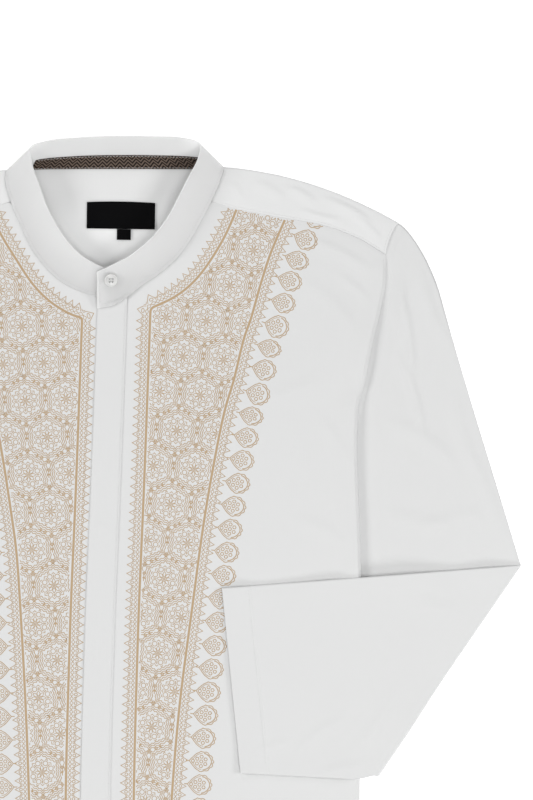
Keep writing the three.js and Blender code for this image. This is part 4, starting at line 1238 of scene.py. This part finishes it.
def panel_strokes(side):
    """The filling between the two border lines."""
    lattice_at, lean = LATTICE[side]
    lean = math.radians(lean)
    cell = flower_cell()
    strokes = []
    for row in range(-9, 19):
        for column in range(-5, 6):
            offset = np.array([(column + 0.5 * (row % 2)) * FLOWER_STEP[0], -row * FLOWER_STEP[1]])
            middle = rotated(offset[None], lean)[0] + lattice_at
            if -760 < middle[1] < -10 and -30 < middle[0] < 190:
                strokes += [(rotated(line, lean, middle), width) for line, width in cell]

    def inside(p):
        x, y = p[:, 0], p[:, 1]
        return (x > inner_x(side, y) + 1.3) & (x < smooth(PANEL_OUTER[side], y) - 1.3)

    return clipped(strokes, inside)


def clipped(strokes, inside):
    """The runs of each stroke that lie inside."""
    kept = []
    for line, width in strokes:
        there = inside(line)
        if there.all():
            kept.append((line, width))
            continue
        edges = np.flatnonzero(np.diff(np.concatenate([[0], there.astype(int), [0]])))
        for start, end in zip(edges[::2], edges[1::2]):
            if end - start > 1:
                kept.append((line[start:end], width))
    return kept


def along_border(route, outwards):
    """Maps (distance along, distance out) beside a border line to the picture. Also the line's length."""
    places = distances(route)
    tangent = unit(evened(unit(np.gradient(route, axis=0)), 5))
    normal = xy(tangent[:, 1], -tangent[:, 0]) * outwards

    def place(shape):
        shape = np.asarray(shape, float)
        at = np.clip(shape[:, 0], 0, places[-1])
        return sampled(at, places, route) + unit(sampled(at, places, normal)) * shape[:, 1:2]

    return place, places[-1]


TOOTH = 7.5  # width of one tooth of the edging
LEAF_STEP = 20.3  # between two leaves of the row
LEAF_MIDDLE = 23.0  # from the outer border line
LEAF_START = 4.0  # the first leaf, along the border line
LEAF = [  # half a leaf: from its point towards the border line, out to its blunt tip
    (-10.4, 0), (-8.3, 2.5), (-6.0, 5.0), (-3.4, 7.2), (0.6, 8.3), (4.6, 7.5), (7.6, 5.3), (9.4, 2.6),
    (10.0, 0),
]
LEAF_STALK = 2.8
LEAF_INNER = 0.84  # size of the leaf's inner line
LEAF_RING = 1.45  # the rings that fill a leaf, in staggered rows
LEAF_RING_STEP = (3.6, 4.1)


def edging_strokes(place, length):
    """Crossing lines beside the border line, then a row of rings in pointed teeth."""
    strokes = []
    half = TOOTH / 2
    for k in range(int(length / TOOTH)):
        at = k * TOOTH
        mid = at + half
        for start in (at, mid):
            for foot, tip in ((1.6, 3.2), (4.6, 3.0)):
                zigzag = [(start, foot), (start + half / 2, tip), (start + half, foot)]
                strokes.append((place(zigzag), LINE * 0.8))
        tooth = [(mid - 3.0, 5.0), (mid - 2.2, 7.4), (mid, 11.6), (mid + 2.2, 7.4), (mid + 3.0, 5.0)]
        strokes += [
            (place(circle(mid, 6.7, 1.25)), LINE * 0.9),
            (place(tooth), LINE * 0.9),
            (place([(at - 0.9, 7.4), (at, 6.0), (at + 0.9, 7.4)]), LINE * 0.8),
        ]
    return strokes


def leaf_rings():
    """The rings that fit inside the inner line of a leaf, in staggered rows."""
    half_x, half_y = np.array(LEAF).T
    rings = []
    for column in range(-3, 4):
        for row in range(-3, 4):
            x, y = column * LEAF_RING_STEP[0], (row + 0.5 * (column % 2)) * LEAF_RING_STEP[1]
            if abs(y) < LEAF_INNER * np.interp(x, half_x, half_y) - 1.3 and x < 7:
                rings.append(circle(x, y, LEAF_RING, 6))
    return rings


def leaf():
    """The strokes of one leaf round its middle: notched outer end, inner line, rim, rings and stalk."""
    whole = np.vstack([LEAF, np.array(LEAF[-2::-1]) * [1, -1]])
    outline = spline(whole, np.linspace(0, len(whole) - 1, 45))
    notched = outline.copy()
    outer = outline[:, 0] > -1.5
    notched[outer] *= (1 + 0.075 * (np.arange(45) % 4 > 1))[outer][:, None]
    inner = outline[outline[:, 0] < 1.0] * LEAF_INNER
    strokes = [(notched, LINE * 1.1)]
    strokes += [(inner[inner[:, 1] * half > 0.5], LINE * 0.8) for half in (1, -1)]
    strokes.append((outline[outline[:, 0] > 1.5] * 0.88, LINE * 1.3))
    strokes += [(ring, LINE) for ring in leaf_rings()]
    strokes.append((np.array([(LEAF[0][0] - LEAF_STALK, 0), LEAF[0]]), LINE * 1.2))
    return strokes


def leaf_strokes(place, length):
    """A row of leaves, each with its point to the border line."""
    strokes = []
    for k in range(int((length - LEAF_START) / LEAF_STEP) + 1):
        middle = (LEAF_START + k * LEAF_STEP, LEAF_MIDDLE)
        strokes += [(place(shape[:, ::-1] + middle), width) for shape, width in leaf()]
    return strokes


def in_print_area(side):
    """Where a front carries the print: below the yoke seam, beside the placket, above the hem's edge."""
    def inside(p):
        x, y = p[:, 0], p[:, 1]
        return (y < yoke_seam_y(x) - 0.5) & (y > HEM_Y + 1) & (side * (x - middle_x(y)) > PLACKET_HALF - 2.2)
    return inside


def ribbon(line, width, first):
    """Plan and faces of one stroke: its left and right edge and, below them, its middle, which closes it."""
    loop = len(line) > 3 and np.allclose(line[0], line[-1])
    if loop:
        line = line[:-1]
        before, after = unit(line - np.roll(line, 1, 0)), unit(np.roll(line, -1, 0) - line)
    else:
        ways = unit(np.diff(line, axis=0))
        before, after = np.vstack([ways[:1], ways]), np.vstack([ways, ways[-1:]])
    way = unit(before + after)
    # Corners keep the line's width, up to twice its half.
    mitre = np.minimum(2, 1 / np.maximum(0.3, np.sum(way * after, 1)))[:, None]
    aside = xy(-way[:, 1], way[:, 0]) * width / 2 * mitre
    plan = np.stack([line + aside, line - aside, line], 1).reshape(-1, 2)
    n = len(line)
    left = first + 3 * np.arange(n if loop else n - 1)
    next_left = first + 3 * (np.arange(1, len(left) + 1) % n)
    faces = []
    for a, b in ((0, 1), (1, 2), (2, 0)):
        faces.append(np.stack([left + a, left + b, next_left + b, next_left + a], -1))
    if not loop:
        last = first + 3 * (n - 1)
        faces.append([(first, first + 2, first + 1, first + 1), (last, last + 1, last + 2, last + 2)])
    return plan, faces


def print_piece(name, side, strokes):
    """Makes the strokes as thin ribbons that lie on a front."""
    plans, levels, faces, count = [], [], [], 0
    mirrored = [(line * [side, 1], width) for line, width in strokes]
    for k, (line, width) in enumerate(clipped(mirrored, in_print_area(side))):
        plan, stroke_faces = ribbon(line, width, count)
        over = PRINT_ABOVE + PRINT_STEP * (k % 7)
        levels.append(np.tile([over, over, -0.02], len(plan) // 3))
        plans.append(plan)
        faces += stroke_faces
        count += len(plan)
    plan = np.vstack(plans)
    z = front_height(side, plan) + CLOTH / 2 + np.concatenate(levels)
    points = np.column_stack([plan, z])
    return piece(name, points, np.vstack(faces), PRINT_INK, lay=points, rounded=False)


def printed(side, name):
    """Both pieces of print on a front."""
    inner, outer = border_routes(side)
    # Points run down both lines. Outwards is to the placket for the inner and to the sleeve for the outer.
    place_in, length_in = along_border(inner, 1)
    place_out, length_out = along_border(outer, -1)
    lines = [(inner, BORDER_WIDTH), (outer, BORDER_WIDTH)]
    edgings = edging_strokes(place_in, length_in) + edging_strokes(place_out, length_out)
    filling = print_piece(name + "_print_panel", side, panel_strokes(side))
    border = print_piece(name + "_print_border", side, lines + edgings + leaf_strokes(place_out, length_out))
    return [filling, border]


PRINTS = {side: printed(side, name) for side, name in ((1, "front_left"), (-1, "front_right"))}

# ---------------------------------------------------------------- stitches

STITCH = {"step": 2.7, "length": 1.9, "radius": 0.17}
COLLAR_STITCH = 0.09  # share of the collar's height from its seam up to its stitches
ARMHOLE_STITCH = 1.8
HEM_STITCH = 1.5  # from the edge of the body's turned hem


def on_cloth(name, plan, from_below=False):
    """Points and normals where a row seen from above lies on a piece's upper or lower face."""
    mesh = PIECES[name].data
    tree = BVHTree.FromPolygons([v.co for v in mesh.vertices], [tuple(p.vertices) for p in mesh.polygons])
    start, way = (-0.01, Vector((0, 0, 1))) if from_below else (0.06, Vector((0, 0, -1)))
    points, normals = [], []
    for x, y in (np.asarray(plan) + MOVE[:2]) * MM:
        at, normal, _, _ = tree.ray_cast(Vector((x, y, start)), way)
        if at is not None:
            points.append(np.array(at) / MM - MOVE)
            normals.append(np.array(normal) * (-1 if normal.dot(way) > 0 else 1))
    return np.array(points), np.array(normals)


def on_collar(rows, ups):
    """The same for a row on the collar's outer face."""
    rows, ups = np.broadcast_arrays(rows, ups)
    normals = band_normal(rows, ups)
    return band(rows, ups) + normals * COLLAR_CLOTH / 2, normals


def stitches(name, rows, first=0.5, length=STITCH["length"], radius=STITCH["radius"]):
    """Short raised stitches of white thread along rows of (points, normals), in mm."""
    rings = []
    for route, normals in rows:
        places = distances(route)
        starts = np.arange(first, places[-1] - length, STITCH["step"])
        spots = starts[:, None] + np.array([0, 0.5, 1]) * length
        at, up = sampled(spots, places, route), unit(sampled(spots, places, normals))
        way = unit(at[:, 2:] - at[:, :1])
        across = unit(np.cross(up, np.repeat(way, 3, 1)))
        size = radius * np.array([0.6, 1, 0.6])[None, :, None]
        core = at + up * radius * np.array([-0.2, 0.5, -0.2])[None, :, None]
        ring = np.stack([core + across * size, core + up * size, core - across * size, core - up * size], 2)
        rings.append(ring.reshape(-1, 3))
    points = np.vstack(rings)
    cells = [(a + k, a + (k + 1) % 4, a + 4 + (k + 1) % 4, a + 4 + k) for a in (0, 4) for k in range(4)]
    cells += [(3, 2, 1, 0), (8, 9, 10, 11)]
    faces = np.arange(0, len(points), 12)[:, None, None] + np.array(cells)
    return piece(name, points, faces.reshape(-1, 4), THREAD, lay=points)


def armhole_rows(side, front_name):
    """The stitches beside an armhole seam, on the yoke and on the front."""
    parts = (("yoke", SHOULDER_TIP[1] - 5, SEAM_END[0] + 2), (front_name, SEAM_END[0] - 4, SIDE_TOP + 12))
    rows = []
    for name, top, bottom in parts:
        y = np.linspace(top, bottom, 160)
        rows.append(on_cloth(name, xy(side * (outline_x(y) - ARMHOLE_STITCH), y)))
    return rows


def hem_rows():
    """The stitches of the body's turned hem, on the fronts and on the back."""
    y, end = HEM_Y + BODY_HEM - HEM_STITCH, outline_x(HEM_Y) - 2
    rows = []
    for side, name in ((1, "front_left"), (-1, "front_right")):
        x = np.linspace(middle_x(y) * side + PLACKET_HALF + 1, end, 160)
        rows.append(on_cloth(name, xy(side * x, y)))
    return rows + [on_cloth("back", xy(np.linspace(-end, end, 320), y), from_below=True)]


def cuff_row(side, name):
    """The stitches of a sleeve's turned hem."""
    top, bottom = SLEEVES[side].folded_opening
    inwards = unit(np.array([bottom[1] - top[1], top[0] - bottom[0]])) * -(SLEEVE_HEM - SLEEVE_STITCH)
    share = np.linspace(0.02, 0.975, 160)[:, None]
    return on_cloth(name, (between(top, bottom, share) + inwards) * [side, 1])


def button_rows():
    """Two threads over the button's face, each from one hole to the next. Also how far each runs."""
    near, face = BUTTON["hole_ring"] * math.sqrt(0.5), BUTTON["thickness"] - BUTTON["dish"]
    facing = band_normal(np.array([BUTTON["row"]]), np.array([BUTTON["up"]]))
    y = np.linspace(-near, near, 9)
    heights = face + 0.25 * (1 - (y / near) ** 2)
    rows = [on_button(np.column_stack([np.full(9, x), y, heights])) for x in (-near, near)]
    return [(row, np.repeat(facing, 9, 0)) for row in rows], 2 * near


def sew():
    """The rows of stitches that the photo shows or that such a shirt has."""
    end_normal = band_normal(np.array([STITCHED_END]), np.array([0.5]))
    end_points = band(np.full(30, STITCHED_END), np.linspace(0.12, 0.9, 30)) + end_normal * COLLAR_CLOTH / 2
    along = on_collar(np.linspace(0.3, 25.75, 700), COLLAR_STITCH)
    stitches("stitches_collar", [along, (end_points, np.repeat(end_normal, 30, 0))])
    x = np.linspace(96, SEAM_END[1] - 3, 200)
    seam = yoke_seam_y(x) + YOKE_STITCH
    stitches("stitches_yoke", [on_cloth("yoke", xy(side * x, seam)) for side in (1, -1)])
    stitches("stitches_armholes", armhole_rows(1, "front_left") + armhole_rows(-1, "front_right"))
    y = np.linspace(-118, HEM_Y + 2, 500)
    stitches("stitches_placket", [on_cloth("placket", xy(middle_x(y) + PLACKET_HALF - PLACKET_STITCH, y))])
    stitches("stitches_hem", hem_rows())
    end = outline_x(YOKE_BACK_Y) - 4
    back_seam = xy(np.linspace(-end, end, 320), YOKE_BACK_Y + YOKE_STITCH)
    stitches("stitches_back_yoke", [on_cloth("yoke", back_seam, from_below=True)])
    stitches("stitches_cuffs", [cuff_row(1, "sleeve_left"), cuff_row(-1, "sleeve_right")])
    rows, run = button_rows()
    stitches("thread_button", rows, first=0.02, length=run - 0.05, radius=0.26)
    t = np.linspace(0.01, 0.99, 200)
    stitches("stitches_tape", [tape_spot(t, np.full(200, w), off=0.3) for w in (0.08, 0.92)])


sew()

# ---------------------------------------------------------------- what is cloth, and how large it was cut

SHEETS = {  # width and length of the cut in metres, its area where it isn't a rectangle, and how it is held
    "back": (0.469, 0.643, 0.281, "laid"),
    "yoke": (0.490, 0.130, 0.052, "folded"),
    "front_left": (0.242, 0.709, 0.147, "laid"),
    "front_right": (0.242, 0.709, 0.147, "laid"),
    "placket": (0.025, 0.626, None, "laid"),
    "collar": (0.033, 0.470, 0.0154, "laid"),
    "neck_tape": (0.014, 0.156, None, "laid"),
    "label": (0.0585, 0.0225, None, "laid"),
    "size_tab": (0.0118, 0.010, None, "laid"),
    "sleeve_left": (0.390, 0.570, 0.171, "folded"),
    "sleeve_right": (0.390, 0.570, 0.171, "folded"),
}
for name, (width, length, area, held) in SHEETS.items():
    going = PRINTS[1] if name == "front_left" else PRINTS[-1] if name == "front_right" else []
    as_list(going)

# ---------------------------------------------------------------- floor, light and camera

FLOOR_HALF = 4.0  # metres
PHOTO_MIDDLE = (132.0, -199.5)  # what the middle of the photo shows
PHOTO_HEIGHT = 688.0  # mm of the shirt from the photo's top to its bottom
CAMERA_HEIGHT = 5000.0
LIGHT_DISTANCE = 2.6  # metres
LIGHTS = {  # direction from the middle of the picture, size and power
    "light_above": ((0.1, -0.2, 1), 1.2, 22),
    "light_left": ((-1, 0.15, 0.55), 0.8, 24),
    "light_right": ((1, -0.1, 0.75), 0.8, 16),
    "light_bottom": ((0.25, -1, 0.65), 0.8, 17),
    "light_top": ((-0.1, 1, 0.8), 0.8, 8.5),
}
scene = bpy.context.scene
middle = Vector((np.array([*PHOTO_MIDDLE, FRONT_LEVEL]) + MOVE) * MM)


def placed(name, data, location):
    """An object of the stage, in its place."""
    made = bpy.data.objects.new(name, data)
    made.location = location
    scene.collection.objects.link(made)
    return made


def lay_floor():
    """A bright floor just under the shirt, which the photo's white background needs."""
    mesh = bpy.data.meshes.new("floor")
    corners = [(x * FLOOR_HALF, y * FLOOR_HALF, -0.0001) for x, y in ((-1, -1), (1, -1), (1, 1), (-1, 1))]
    mesh.from_pydata(corners, [], [(0, 1, 2, 3)])
    look = Look("floor", (0.93, 0.93, 0.93), 0.9, Emission_Color=(1, 1, 1, 1), Emission_Strength=0.42)
    mesh.materials.append(look.material)
    placed("floor", mesh, (0, 0, 0))


def light_world(strength=0.21):
    """Even white light from all round."""
    world = bpy.data.worlds.new("world")
    world.use_nodes = True
    background = world.node_tree.nodes["Background"]
    background.inputs["Color"].default_value = (1, 1, 1, 1)
    background.inputs["Strength"].default_value = strength
    scene.world = world


def area_light(name, direction, size, power):
    """A square softbox that faces the middle of the picture."""
    data = bpy.data.lights.new(name, "AREA")
    data.shape, data.size, data.energy = "SQUARE", size, power
    lamp = placed(name, data, middle + Vector(direction).normalized() * LIGHT_DISTANCE)
    lamp.rotation_mode = "QUATERNION"
    lamp.rotation_quaternion = (-Vector(direction)).to_track_quat("-Z", "Y")


def set_camera():
    """A camera far above the middle of the picture, which looks straight down."""
    camera = bpy.data.cameras.new("camera")
    camera.lens = camera.sensor_width * CAMERA_HEIGHT / PHOTO_HEIGHT
    camera.clip_start, camera.clip_end = 0.1, 50
    scene.camera = placed("camera", camera, middle + Vector((0, 0, CAMERA_HEIGHT * MM)))
    scene.view_settings.view_transform = "Standard"


lay_floor()
light_world()
for name, (direction, size, power) in LIGHTS.items():
    area_light(name, direction, size, power)
set_camera()
